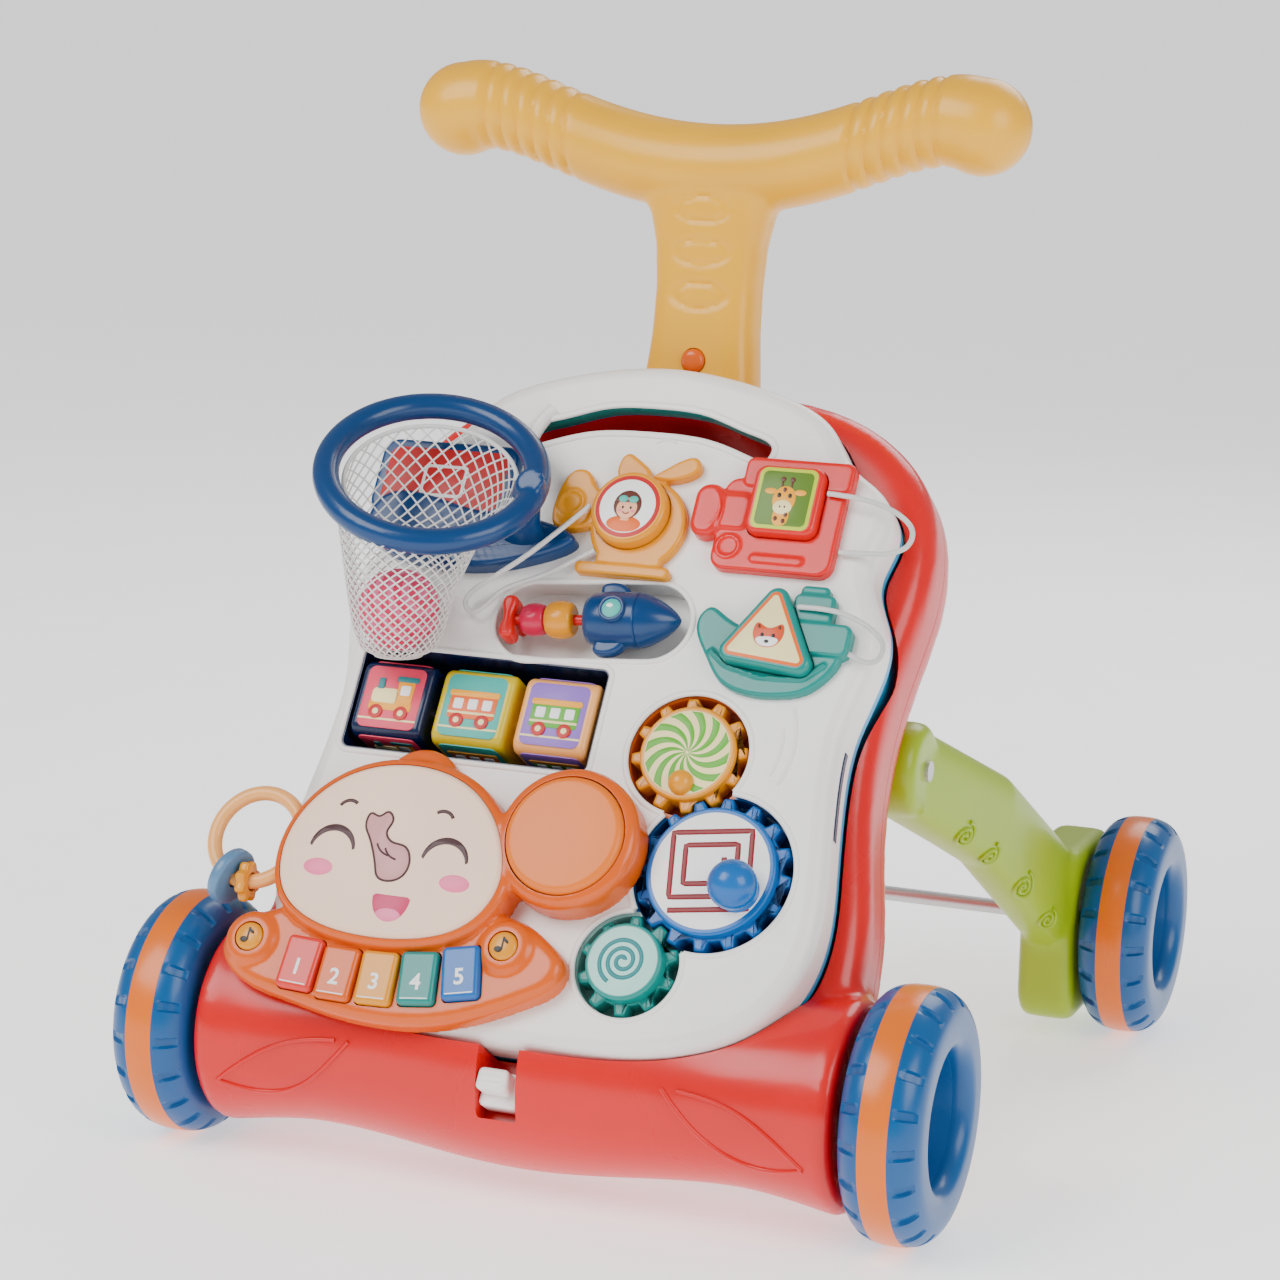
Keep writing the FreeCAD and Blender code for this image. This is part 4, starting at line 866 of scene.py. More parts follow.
class WALKER_OT_handle(bpy.types.Operator):
    """Moulds the yellow T handle with its grooves, ovals and button"""
    bl_idname = "walker.handle"
    bl_label = "Handle"

    def execute(self, context):
        path = grip_path()
        a = np.linspace(0, 2 * pi, 48, endpoint=False)
        radius = 22.0 + 1.7 * np.clip((np.abs(path[:, 0]) - 112) / 24, 0, 1) ** 2
        around = np.stack([np.zeros(48), np.cos(a), np.sin(a)], 1)
        bar = capped(grid(path[:, None] + radius[:, None, None] * around[None], close_columns=True), 48)
        polar = np.linspace(-pi / 2, pi / 2, 24)
        ball = [(23.7 * sin(p), 23.7 * cos(p)) for p in polar]
        balls = [moved(turned(ball, 48), lambda p, c=c: p + c) for c in (path[0], path[-1])]
        y = FRONT_AXLE_Y
        rows = [((0, y + 187, 338), 58, 31), ((0, y + 189, 352), 58, 32), ((0, y + 193, 378), 53, 32),
                ((0, y + 196, 400), 52, 32), ((0, y + 198, 422), 55, 33), ((0, y + 199, 437), 62, 34),
                ((0, y + 200, 448), 76, 35), ((0, y + 201, 458), 106, 37), ((0, y + 201, 466), 150, 38)]
        column = capped(grid(np.array([superellipse(*row) for row in rows]), close_columns=True), 48)
        mesh = melted(joined(bar, column, *balls), 1.7, smooth=14)
        self.groove(mesh)
        hole = moved(turned([(-8, 6.4), (3.5, 6.4)], 40, "y"), lambda p: p + (0, y + 176, 366))
        mesh = carved(mesh, hole)
        front, rear = halves(mesh, (0, y + 199.0, 0), (0, -1, 0), 0.35)
        show(front, "handle_front_skin", "frame", "yellow", replaces="handle_front_shell",
             slot="yellow_plastic")
        show(rear, "handle_rear_skin", "frame", "yellow", replaces="handle_rear_shell", slot="yellow_plastic")
        cap = [(-3.4, 0.2), (-3.3, 3.0), (-2.6, 5.0), (-1.4, 5.9), (8, 6.0)]
        piece("handle_button_cap", "handle_button",
              moved(turned(cap, 48, "y"), lambda p: p + (0, y + 175.5, 366)),
              "orange", replaces="handle_button", slot="yellow_plastic")
        return {"FINISHED"}

    def groove(self, mesh):
        """Presses the grooves: the skin of each grip sinks along a row of bell-shaped dips, and the front of
        the column along three ovals."""
        co = np.zeros(len(mesh.vertices) * 3, np.float32)
        mesh.vertices.foreach_get("co", co)
        p = co.reshape(-1, 3).astype(float) / MM
        normal = np.zeros_like(co)
        mesh.vertices.foreach_get("normal", normal)
        normal = normal.reshape(-1, 3)
        pitch, first = 8.6, 74.0
        grip = np.abs(p[:, 0])
        phase = (grip - first) / pitch
        k = np.round(phase)
        in_row = (k >= 0) & (k < sizes().grip_grooves)
        offset = (phase - k) * pitch
        fade = np.clip(1.25 - np.abs(k - 2.5) * 0.12, 0, 1) * (p[:, 2] > 440)
        dip = np.where(in_row, 1.5 * np.exp(-(offset / 1.7) ** 2), 0.0) * fade
        front = np.clip(-normal[:, 1], 0, 1) > 0.5
        for z in (440.0, 419.0, 398.0):
            r = np.hypot(p[:, 0] / 13.5, (p[:, 2] - z) / 6.0)
            dip += np.where(front, 1.1 * np.exp(-((r - 1.0) / 0.16) ** 2), 0.0)
        p = p - normal * dip[:, None]
        mesh.vertices.foreach_set("co", (p * MM).astype(np.float32).ravel())
        mesh.update()


# ---- legs ---------------------------------------------------------------------------------------
LEG_TOP_X, LEG_FOOT_X = 123.6, 157.0
LEG_DEPTH, LEG_THICKNESS = 46.0, 30.0


class WALKER_OT_legs(bpy.types.Operator):
    """Moulds the two green rear legs with their raised spirals"""
    bl_idname = "walker.legs"
    bl_label = "Legs"

    def execute(self, context):
        for name, side in (("leg_left", -1), ("leg_right", 1)):
            top, foot = self.ends(side)
            middle = top + (foot - top) * 0.45 + (side * 4, 6, 6)
            spine = np.array([top + (foot - top) * 0.02, top * 0.4 + middle * 0.6, middle,
                              middle * 0.5 + foot * 0.5, foot])
            arm = self.arm(spine, foot - top)
            eye = moved(pillow(circle(0, 0, LEG_DEPTH / 2), -15, 15, top=6, bottom=6),
                        lambda p, c=top: np.stack([c[0] + p[:, 2], c[1] + p[:, 0], c[2] + p[:, 1]], 1))
            boss_edge = rounded_rectangle(REAR_AXLE_Y - 50.4, 10, REAR_AXLE_Y + 33.6, 104, 18)
            boss = moved(pillow(boss_edge, foot[0] - 15, foot[0] + 15, top=6, bottom=6),
                         lambda p: np.stack([p[:, 2], p[:, 0], p[:, 1]], 1))
            mesh = melted(joined(arm, eye, boss), 2.0, smooth=10)
            show(mesh, name + "_skin", "rear_legs", "leaf", replaces=name, slot="green_plastic")
            self.spirals(name, side, foot - top, spine)
        return {"FINISHED"}

    def ends(self, side):
        pivot = np.array(JOINTS["leg_fold"]["pos_m"]) / MM
        return (np.array([side * LEG_TOP_X, pivot[1], pivot[2]]),
                np.array([side * LEG_FOOT_X, REAR_AXLE_Y - 30, WHEEL_RADIUS + 14]))

    def arm(self, spine, run):
        """Rounded sections along the spine, square to the leg's run, a little deeper towards the foot."""
        run = run / np.linalg.norm(run)
        upward = np.cross(ACROSS, run)
        upward /= np.linalg.norm(upward)
        a = np.linspace(0, 2 * pi, 48, endpoint=False)
        c, s = np.cos(a), np.sin(a)
        wide = LEG_THICKNESS / 2 * np.sign(c) * np.abs(c) ** 0.7
        deep = np.sign(s) * np.abs(s) ** 0.7
        depth = np.linspace(LEG_DEPTH, LEG_DEPTH + 8, len(spine)) / 2
        points = (spine[:, None] + wide[None, :, None] * ACROSS
                  + (depth[:, None] * deep[None])[..., None] * upward)
        return capped(grid(points, close_columns=True), 48)

    def spirals(self, name, side, run, spine):
        """Raised spirals on the arm's outer lower side: the radius grows evenly with the angle, one share of
        each place lies along the run and the other goes round the arm's section."""
        length = np.linalg.norm(run)
        upward = np.cross(ACROSS, run / length)
        upward /= np.linalg.norm(upward)
        rows = []
        t = np.linspace(0, 1, 70)
        for share, swing, size in ((0.24, -44, 9.0), (0.44, -52, 9.5), (0.66, -46, 9.5), (0.84, -50, 8.0)):
            turn = 0.6 + 4.4 * pi * t
            r = size * (0.12 + 0.88 * t)
            along = share + r * np.cos(turn) / length
            around = radians(swing) + r * np.sin(turn) / 21.0
            centre = np.stack([np.interp(along, np.linspace(0, 1, len(spine)), spine[:, k])
                               for k in range(3)], 1)
            wide = LEG_THICKNESS / 2 * np.abs(np.cos(around)) ** 0.7 * np.sign(np.cos(around))
            deep = (LEG_DEPTH + 8 * along) / 2 * np.abs(np.sin(around)) ** 0.7 * np.sign(np.sin(around))
            path = centre + (side * wide)[:, None] * ACROSS + deep[:, None] * upward
            facing = side * cos(radians(swing)) * ACROSS + sin(radians(swing)) * upward
            rows.append(ribbon(path, facing, 2.2, 1.3))
        piece(name + "_spirals", "rear_legs", joined(*rows), "leaf")


# ---- play panel ---------------------------------------------------------------------------------
POCKET_GAP = 4.4
TRAY = (-118.0, 136.1, 10.0, 189.9)
ROCKET_MIDDLE, ROCKET_TILT = (0.0, 213.5), radians(5.0)


def stadium(x, y, half, radius, tilt):
    """Two half circles joined by straight sides, turned by the tilt."""
    right = arc(half, 0, radius, -90, 90, 24)
    outline = np.concatenate([right, -right])
    return outline @ np.array([[cos(tilt), sin(tilt)], [-sin(tilt), cos(tilt)]]) + (x, y)


def pocket_radius(name):
    return GEAR_MODULE * GEAR_TEETH[name] / 2 + POCKET_GAP


def pocket_arcs():
    """The part of each pocket's edge that lies outside the other pockets."""
    radii = {name: pocket_radius(name) for name in GEAR_TEETH}
    runs = []
    for name, centre in GEAR_CENTRES.items():
        points = circle(*centre, radii[name], 240)
        clear = np.ones(len(points), bool)
        for other, place in GEAR_CENTRES.items():
            if other != name:
                clear &= np.linalg.norm(points - place, axis=1) > radii[other] - 0.2
        starts = np.flatnonzero(clear & ~np.roll(clear, 1))
        for start in starts:
            ordered = np.roll(points, -start, 0)
            length = int(np.argmin(np.roll(clear, -start))) or len(points)
            if length > 4:
                runs.append(ordered[:length])
    return runs


def socket(row, identifier):
    return next(one for one in row if one.identifier == identifier)


def tint_pockets(finishes):
    """Colours the liners by pocket: the colour given for the yellow or the teal gear's pocket where the
    distance to its centre is under its pocket's radius, and the blue one's elsewhere. The yellow pocket's
    orange-brown is its amber liner darkened with painted shade of the deep pocket."""
    tinted = plastic("pocket_plastic", MOULDED[finishes["blue"]][0])
    nodes, links = tinted.node_tree.nodes, tinted.node_tree.links
    shader, colour = nodes["Principled BSDF"], nodes["Color Ramp"].outputs["Color"]
    for name in ("yellow", "teal"):
        far = nodes.new("ShaderNodeVectorMath")
        far.operation = "DISTANCE"
        links.new(nodes["Texture Coordinate"].outputs["Object"], far.inputs[0])
        far.inputs[1].default_value = to_world([(*GEAR_CENTRES[name], -8.0)])[0] * MM
        inside = nodes.new("ShaderNodeMath")
        inside.operation = "LESS_THAN"
        inside.inputs[1].default_value = (pocket_radius(name) + 0.8) * MM
        links.new(far.outputs["Value"], inside.inputs[0])
        mix = nodes.new("ShaderNodeMix")
        mix.data_type = "RGBA"
        links.new(inside.outputs["Value"], mix.inputs["Factor"])
        links.new(colour, socket(mix.inputs, "A_Color"))
        socket(mix.inputs, "B_Color").default_value = (*linear(MOULDED[finishes[name]][0]), 1)
        colour = socket(mix.outputs, "Result_Color")
    links.new(colour, shader.inputs["Base Color"])
    liners = bpy.data.objects["gear_pockets"].data.materials
    liners.clear()
    liners.append(tinted)


class WALKER_OT_panel(bpy.types.Operator):
    """Trims the play panel: rounded lips, ridges, the liners' floors and the latch"""
    bl_idname = "walker.panel"
    bl_label = "Play panel"

    def execute(self, context):
        lips = [ridge(loop(mirrored(SLOT_EDGE), 200), -0.2, 3.6, 1.3, closed=True),
                ridge(grown(rounded_rectangle(*TRAY, 5.0), 0.6), -0.2, 3.0, 1.0, closed=True),
                ridge(stadium(-6.0, 212.5, 29.5, 20.4, ROCKET_TILT), -0.2, 3.0, 1.1,
                       closed=True)]
        lips += [ridge(run, -0.2, 3.0, 1.0) for run in pocket_arcs()]
        panel_piece("panel_lips", "play_panel", joined(*lips), "white")
        slot_line = grown(loop(mirrored(SLOT_EDGE), 200), -0.45)
        for name, middle, half, finish in (("slot_rim", -6.5, 3.4, "teal"),
                                           ("slot_lining", -28.9, 18.9, "red")):
            lining = ridge(slot_line, middle, 0.8, half, closed=True)
            panel_piece(name, "play_panel", lining, finish)
        ridges = [ridge(arc(-25, 298, 36, 140, 178, 24), 0, 7.0, 3.4),
                  ridge(arc(62, 160, 44, -24, 26, 30), 0, 1.3, 0.7),
                  ridge(arc(58, 160, 42, -20, 12, 30), 0, 1.1, 0.6),
                  ridge(arc(10, 300, 9, 60, 130, 16), 0, 1.2, 0.6)]
        panel_piece("panel_ridges", "play_panel", joined(*ridges), "white")
        edge = grown(loop(mirrored(PANEL_EDGE), 400), 0.1)
        # ink-blue ribbons on both side walls are painted shade: they stand for the dark inside of the side
        # slits, which are not cut
        for side, name in ((1, "right"), (-1, "left")):
            wall = edge[(edge[:, 0] * side > 0) & (edge[:, 1] > 120) & (edge[:, 1] < 165)]
            slit_shade = ribbon(flat_path(wall, -13.0), (side, 0, 0), 5.0, 0.45)
            panel_piece("side_slit_shade_" + name, "play_panel", slit_shade, "ink_blue")
        # the yellow pocket's orange-brown floor and liner are its amber with the deep pocket's shade painted
        # in
        floors = {"yellow": "rust", "blue": "blue", "teal": "pale_teal"}
        tint_pockets(floors)
        for name, finish in floors.items():
            radius = pocket_radius(name) - 1.6
            level = {"yellow": -14.7, "blue": -14.85, "teal": -14.6}[name]
            floor = pillow(circle(*GEAR_CENTRES[name], radius, 96), -14.95, level, top=0.05, steps=2)
            panel_piece(name + "_pocket_floor", "play_panel", floor, finish)
        latch = joined(pillow(rounded_rectangle(-9.5, -20, 9.5, -4, 2.2), -24, -14, top=1.2, bottom=0.5),
                       pillow(rounded_rectangle(-9.3, -15, 5.5, -4.5, 2.5), -20, -4.5, top=2.4, bottom=0.5))
        ribs = [ridge(line((-6.5, s), (2.5, s)), -4.5, 1.2, 0.5) for s in (-11.5, -8.5)]
        panel_piece("latch_slider", "panel_latch", joined(latch, *ribs), "white", replaces="panel_latch",
              slot="white_plastic")
        return {"FINISHED"}


# ---- elephant piano ------------------------------------------------------------------------------
def crown(points):
    """The face plate's low crown: 1.5 mm in the middle, falling with the square of the distance out."""
    x, y = (points[:, 0] + 67) / 56, (points[:, 1] - 83) / 42
    lifted = points.copy()
    lifted[:, 2] += 1.5 * np.clip(1 - x ** 2 - y ** 2, 0, 1)
    return lifted


def turned_to(x, s, degrees_round):
    """Turns flat places about their own origin and sets them down at a place on the panel."""
    a = radians(degrees_round)
    rotation = np.array([[cos(a), sin(a), 0], [-sin(a), cos(a), 0], [0, 0, 1]])
    return lambda points: points @ rotation + (x, s, 0)


def glyph(text, size):
    """A figure from the plain built-in face, centred, as a thin shape."""
    curve = bpy.data.curves.new("glyph", "FONT")
    curve.body = text
    curve.size = size
    curve.extrude = 0.25
    curve.offset = 0.02 * size
    curve.align_x = "CENTER"
    curve.align_y = "CENTER"
    holder = bpy.data.objects.new("glyph", curve)
    mesh = bpy.data.meshes.new_from_object(holder)
    points = np.zeros(len(mesh.vertices) * 3, np.float32)
    mesh.vertices.foreach_get("co", points)
    faces = [tuple(p.vertices) for p in mesh.polygons]
    bpy.data.objects.remove(holder)
    return points.reshape(-1, 3).astype(float), faces


def note_mark():
    """A plain quaver: an oval head, a stem and a flag."""
    head = oval(-1.0, -1.8, 1.5, 1.1, 24)
    stem = rounded_rectangle(0.1, -1.9, 0.7, 3.0, 0.25, 3)
    flag = soft_polygon([(0.1, 3.0), (2.4, 1.6), (2.2, 0.4), (0.6, 1.5)], 2)
    return [(head, "print_black", 1), (stem, "print_black", 2), (flag, "print_black", 3)]


class WALKER_OT_piano(bpy.types.Operator):
    """Moulds the elephant's head, its face, keys, buttons and soft ear"""
    bl_idname = "walker.piano"
    bl_label = "Elephant piano"

    def execute(self, context):
        self.housing()
        self.face()
        colours = ("coral", "orange", "amber", "teal", "gear_blue")
        for k, ((x, s, turn), colour) in enumerate(zip(KEYS, colours)):
            name = "key_" + str(k + 1)
            lay = turned_to(x, s, turn)
            body = pillow(rounded_rectangle(-9.1, -12.6, 9.1, 12.6, 2.6), 5, 17, top=2.4, steps=8)
            panel_piece(name + "_cap", name, moved(body, lay), colour, replaces=name)
            layers = [(moved(glyph(str(k + 1), 10.5), lambda p: p + (0, -2.6, 0)), "print_white", 1),
                      (rounded_rectangle(-6.6, -10.2, 6.6, -9.7, 0.2, 3), "print_white", 1)]
            picture(name + "_figure", name, layers, lambda p, lay=lay: to_world(lay(p) + (0, 0, 17.02)))
        for name, (x, s) in BUTTONS.items():
            button = pillow(circle(x, s, 6.8), 5, 17.4, top=2.4, dome=0.6)
            panel_piece(name + "_cap", name, button, "amber", replaces=name)
            lay = lambda p, x=x, s=s: to_world(p * (1.25, 1.25, 1) + (x, s, 17.95))
            picture(name + "_mark", name, note_mark(), lay)
        pad = pillow(circle(*EAR, 28.2, 128), 7, 21.8, top=3.6, dome=1.2, steps=9)
        panel_piece("ear_pad_cap", "ear_pad", pad, "mango", replaces="ear_pad")
        return {"FINISHED"}

    def housing(self):
        forms = [pillow(loop(CRESCENT_EDGE, 240), -1, 13, top=5.5),
                 pillow(circle(*EAR, 34, 120), -1, 19, top=5.5),
                 pillow(circle(-67, 118, 19.5), -1, 12, top=6),
                 pillow(grown(loop(FACE_EDGE, 240), 4), -1, 18.4, top=5)]
        forms += [pillow(circle(x, s, 13.5), -1, 16, top=5) for x, s in BUTTONS.values()]
        mesh = melted(moved(joined(*forms), to_world), 1.15, smooth=5)
        cutters = [moved(pillow(rounded_rectangle(-9.6, -13.1, 9.6, 13.1, 2.8), 2, 40, top=0.2),
                         turned_to(*key))
                   for key in KEYS]
        cutters += [pillow(circle(x, s, 7.3), 2, 40, top=0.2) for x, s in BUTTONS.values()]
        cutters += [pillow(circle(*EAR, 28.8, 96), 4, 40, top=0.2),
                    pillow(loop(FACE_EDGE, 160), 14.5, 40, top=0.2)]
        mesh = carved(mesh, *[moved(cutter, to_world) for cutter in cutters])
        show(mesh, "elephant_head", "play_panel", "orange", replaces="piano_housing", slot="orange_plastic")

    def face(self):
        plate = pillow(grown(loop(FACE_EDGE, 240), -0.25), 14.6, 19.4, top=2.2, dome=1e-4, steps=7)
        raised = plate[0].copy()
        raised[raised[:, 2] > 14.7] = crown(raised[raised[:, 2] > 14.7])
        piece("elephant_face", "play_panel", (to_world(raised), plate[1]), "cream", replaces="face_plate",
              slot="cream_plastic")
        ink = "print_dark"
        layers = []
        for x in (-96.5, -39.5):
            lid = np.concatenate([arc(x, 80.2, 11.6, 176, 4, 36), arc(x, 77.9, 10.6, 12, 168, 36)])
            layers.append((lid, ink, 1))
        for x, lean_round in ((-93, 12), (-45.5, -12)):
            brow = arc(x, 98.5, 5.6, 140 + lean_round, 40 + lean_round, 14)
            layers.append((ridge(brow, 0, 1.7, 0.3), ink, 1))
        trunk = loop([(-82.5, 94), (-81, 99), (-76.8, 98), (-73, 100.5), (-69.5, 97), (-71, 91),
                      (-67.5, 86.5),
                      (-60.5, 85), (-56.2, 78.5), (-57.8, 71), (-63.5, 67.8), (-70, 69), (-72.5, 74),
                      (-75.5, 81), (-79.5, 88)], 120)
        layers.append((trunk, "print_trunk", 1))
        layers.append((ridge(trunk, 0.15, 1.0, 0.3, closed=True), ink, 1))
        for wrinkle in (arc(-66, 88.5, 9, 205, 262, 12), arc(-62, 86.5, 8.4, 205, 262, 12)):
            layers.append((ridge(wrinkle, 0.2, 0.9, 0.3), ink, 1))
        layers += [(oval(x, 70.5, 7.4, 4.1), "print_pink", 1) for x in (-101, -32)]
        mouth = np.concatenate([arc(-60.5, 60.2, 9.3, 180, 360, 30, 1.22), [(-52.5, 61.2), (-68.5, 61.2)]])
        layers.append((mouth, "print_mouth", 1))
        layers.append((np.concatenate([arc(-60.5, 52.9, 6.3, 190, 350, 20, 0.62),
                                       arc(-60.5, 51.8, 6.3, 10, 170, 20, 0.5)]),
                       "print_tongue", 2))
        picture("face_print", "play_panel", layers, lambda p: to_world(crown(p) + (0, 0, 19.42)))


# ---- gears --------------------------------------------------------------------------------------
def tooth_angle(name):
    """The direction of one tooth: the blue gear's points at the yellow gear, whose gap it meets."""
    blue, yellow = GEAR_CENTRES["blue"], GEAR_CENTRES["yellow"]
    to_yellow = atan2(*(yellow - blue)[::-1])
    if name == "blue":
        return to_yellow
    toward = atan2(*(GEAR_CENTRES[name] - blue)[::-1])
    step = 2 * pi / GEAR_TEETH["blue"]
    turns = (to_yellow - toward) / step
    offset = (turns - round(turns)) * step
    return toward + pi - offset * GEAR_TEETH["blue"] / GEAR_TEETH[name] + pi / GEAR_TEETH[name]


def gear_outline(name):
    """The radius swings between root and tip with the cosine of teeth times angle, held flat at both."""
    teeth = GEAR_TEETH[name]
    a = np.linspace(0, 2 * pi, teeth * 28, endpoint=False)
    wave = np.clip(1.9 * (np.cos(teeth * (a - tooth_angle(name))) - 0.16), -1, 1)
    wave = wave * (1.5 - 0.5 * wave ** 2)
    r = GEAR_MODULE * teeth / 2 - 0.4 + 2.5 * wave
    return np.stack([r * np.cos(a), r * np.sin(a)], 1)


def pinwheel(radius, blades):
    """Curved blades: each edge's angle swings back with the distance out."""
    r = np.linspace(0.8, radius, 16)
    layers = []
    for k in range(blades):
        start = 2 * pi * k / blades
        swing = start + 0.9 * (r / radius) ** 1.2
        width = pi / blades
        one = np.stack([r * np.cos(swing), r * np.sin(swing)], 1)
        two = np.stack([r * np.cos(swing + width), r * np.sin(swing + width)], 1)[::-1]
        layers.append((np.concatenate([one, two]), "print_leaf", 2))
    return layers


def square_spiral(size, step, turns):
    """Straight runs that turn left and shorten by a step every second corner."""
    points = [(-size, -size)]
    half = size
    way = [(1, 0), (0, 1), (-1, 0), (0, -1)]
    length = 2 * half
    for k in range(turns * 4):
        dx, dy = way[k % 4]
        x, y = points[-1]
        points.append((x + dx * length, y + dy * length))
        if k % 2 == 0 and k > 0 or k == 2:
            length -= step
    return np.array(points)


class WALKER_OT_gears(bpy.types.Operator):
    """Cuts the three meshing gears with their discs, prints and knobs"""
    bl_idname = "walker.gears"
    bl_label = "Gears"

    def execute(self, context):
        discs = {"yellow": (23.0, 2.0, "amber"), "blue": (30.5, 4.0, "gear_blue"),
                 "teal": (18.0, 6.0, "gear_teal")}
        for name, (radius, top, finish) in discs.items():
            body = name + "_gear"
            centre = GEAR_CENTRES[name]
            way = lambda p, c=centre: to_world(p + (c[0], c[1], 0))
            forms = [pillow(gear_outline(name), -12, -1, top=1.5, bottom=0.8),
                     pillow(circle(0, 0, radius, 120), -3, top, top=1.4)]
            if name == "blue":
                forms.append(moved(self.knob(top), lambda p: p + (15, -8, 0)))
            if name == "yellow":
                ball = [(-5.5 * cos(t), 5.9 * sin(t) + 0.05) for t in np.linspace(0.02, pi - 0.02, 24)]
                forms.append(moved(turned(ball, 40, "z"), lambda p: p + (0.6, -15, 2.6)))
            piece(body + "_wheel", body, moved(joined(*forms), way), finish, replaces=body,
                  slot=finish_slot(name))
            lay = lambda p, w=way, t=top: w(p + (0, 0, t + 0.02))
            picture(body + "_print", body, self.print_of(name), lay)
        return {"FINISHED"}

    def knob(self, top):
        """A round knob on a waisted stem."""
        t = np.linspace(-0.95, pi / 2 - 0.02, 22)
        ball = np.stack([top + 9.0 + 11.4 * np.sin(t), 11.4 * np.cos(t)], 1)
        foot = np.array([(top - 1, 10.4), (top + 0.6, 10.0), (top + 1.4, 8.6)])
        return turned(np.concatenate([foot[:2], ball[ball[:, 0] > top + 1.4]]), 56, "z")

    def print_of(self, name):
        if name == "yellow":
            return [(circle(0, 0, 20.6, 96), "print_cream", 1)] + pinwheel(20.2, 12)
        if name == "blue":
            a = radians(8)
            turn = np.array([[cos(a), sin(a)], [-sin(a), cos(a)]])
            path = square_spiral(18.5, 6.2, 3)[:11] @ turn
            layers = [(circle(0, 0, 27.7, 120), "print_white", 1)]
            layers.append((ridge(line(*path, count=14), 0.1, 2.7, 0.32), "print_maroon", 2))
            return layers
        t = np.linspace(0, 1, 90)
        r = 1.2 + 10.2 * t
        swirl = np.stack([r * np.cos(0.5 + 5.2 * pi * t), r * np.sin(0.5 + 5.2 * pi * t)], 1)
        return [(circle(0, 0, 16.2, 96), "print_mint", 1),
                (ridge(swirl, 0.1, 2.1, 0.32), "print_sea", 2)]


def finish_slot(name):
    return {"yellow": "yellow_plastic", "blue": "blue_plastic", "teal": "teal_plastic"}[name]


# ---- turning train blocks --------------------------------------------------------------------------
BLOCKS = {"train_block_1": ("ink_blue", "print_rose", "engine"),
          "train_block_2": ("lime", "print_teal", "orange"),
          "train_block_3": ("peach", "print_violet", "green")}


def train_layers(ground, kind):
    """A little train on a coloured ground: rail, wheels, body and windows, or an engine with cab and
    funnel."""
    layers = [(rounded_rectangle(-15, -15.5, 15, 15.5, 3.5), ground, 1),
              (rounded_rectangle(-15, -11.6, 15, -10.6, 0.3, 3), "print_cream", 2)]
    if kind == "engine":
        layers += [(rounded_rectangle(-11, -6.5, 11, -2, 1.0), "print_gold", 3),
                   (rounded_rectangle(-10.5, -3, 3, 4.5, 2.2), "print_cream", 4),
                   (rounded_rectangle(2, -3, 10.5, 9, 1.0), "print_gold", 4),
                   (rounded_rectangle(3.8, 1.5, 8.8, 6.5, 0.8), "print_white", 5),
                   (rounded_rectangle(0.8, 8.2, 12, 11, 1.0), "print_sea", 5),
                   (rounded_rectangle(-8.4, 4, -5.2, 9.5, 0.6), "print_sea", 5)]
    else:
        body = {"orange": "print_orange", "green": "print_leaf"}[kind]
        layers += [(rounded_rectangle(-12, -6.5, 12, 5.5, 1.6), body, 3),
                   (rounded_rectangle(-12.8, 4.6, 12.8, 7.6, 1.3), "print_gold", 4),
                   (rounded_rectangle(-12, -4.2, 12, -3.0, 0.3, 3), "print_cream", 4)]
        layers += [(rounded_rectangle(x - 2.4, -1.8, x + 2.4, 3.4, 0.7), "print_white", 5)
                   for x in (-7.4, 0, 7.4)]
    for x in (-6.5, 6.5):
        layers += [(circle(x, -7.6, 3.5, 40), "print_red", 6), (circle(x, -7.6, 1.5, 24), "print_cream", 7)]
    return layers


class WALKER_OT_blocks(bpy.types.Operator):
    """Moulds the three picture blocks that turn on their rod"""
    bl_idname = "walker.blocks"
    bl_label = "Train blocks"

    def execute(self, context):
        for name, (finish, ground, kind) in BLOCKS.items():
            centre = np.array(JOINTS[name + "_spin"]["pos_m"]) / MM
            cube = pillow(rounded_rectangle(-19, -19, 19, 19, 6.2), -18.4, 18.4, top=2.6, bottom=2.6)
            place = lambda p, c=centre: np.stack([p[:, 2], p[:, 0], p[:, 1]], 1) @ PANEL_AXES + c
            piece(name + "_body", name, moved(cube, place), finish, replaces=name)
            layers = []
            for quarter in range(4):
                c, s = round(cos(quarter * pi / 2)), round(sin(quarter * pi / 2))
                turn = np.array([[1, 0, 0], [0, c, s], [0, -s, c]])
                for form, ink, level in train_layers(ground, kind):
                    around = lambda p, t=turn: (p + (0, 0, 19.0)) @ t
                    layers.append((moved(slab(form, level), around), ink, level))
            picture(name + "_print", name, layers, lambda p, c=centre: p @ PANEL_AXES + c)
        return {"FINISHED"}


# ---- rocket ------------------------------------------------------------------------------------------
def on_rocket(points):
    """Places along the rocket's rod, across it and out of the face, set at the rod's tilt."""
    c, s = cos(ROCKET_TILT), sin(ROCKET_TILT)
    turn = np.array([[c, s, 0], [-s, c, 0], [0, 0, 1]])
    return to_world(points @ turn + (*ROCKET_MIDDLE, 0))


def bead_profile(start, length, radius):
    t = np.radians(np.linspace(-90, 90, 25))
    middle = start + length / 2
    body = [(middle + length / 2 * sin(a), radius * (0.62 + 0.38 * cos(a) ** 0.8)) for a in t[1:-1]]
    return [(start, 2.6), (start + 0.05, radius * 0.6)] + body + [(start + length - 0.05, radius * 0.6),
                                                                 (start + length, 2.6)]


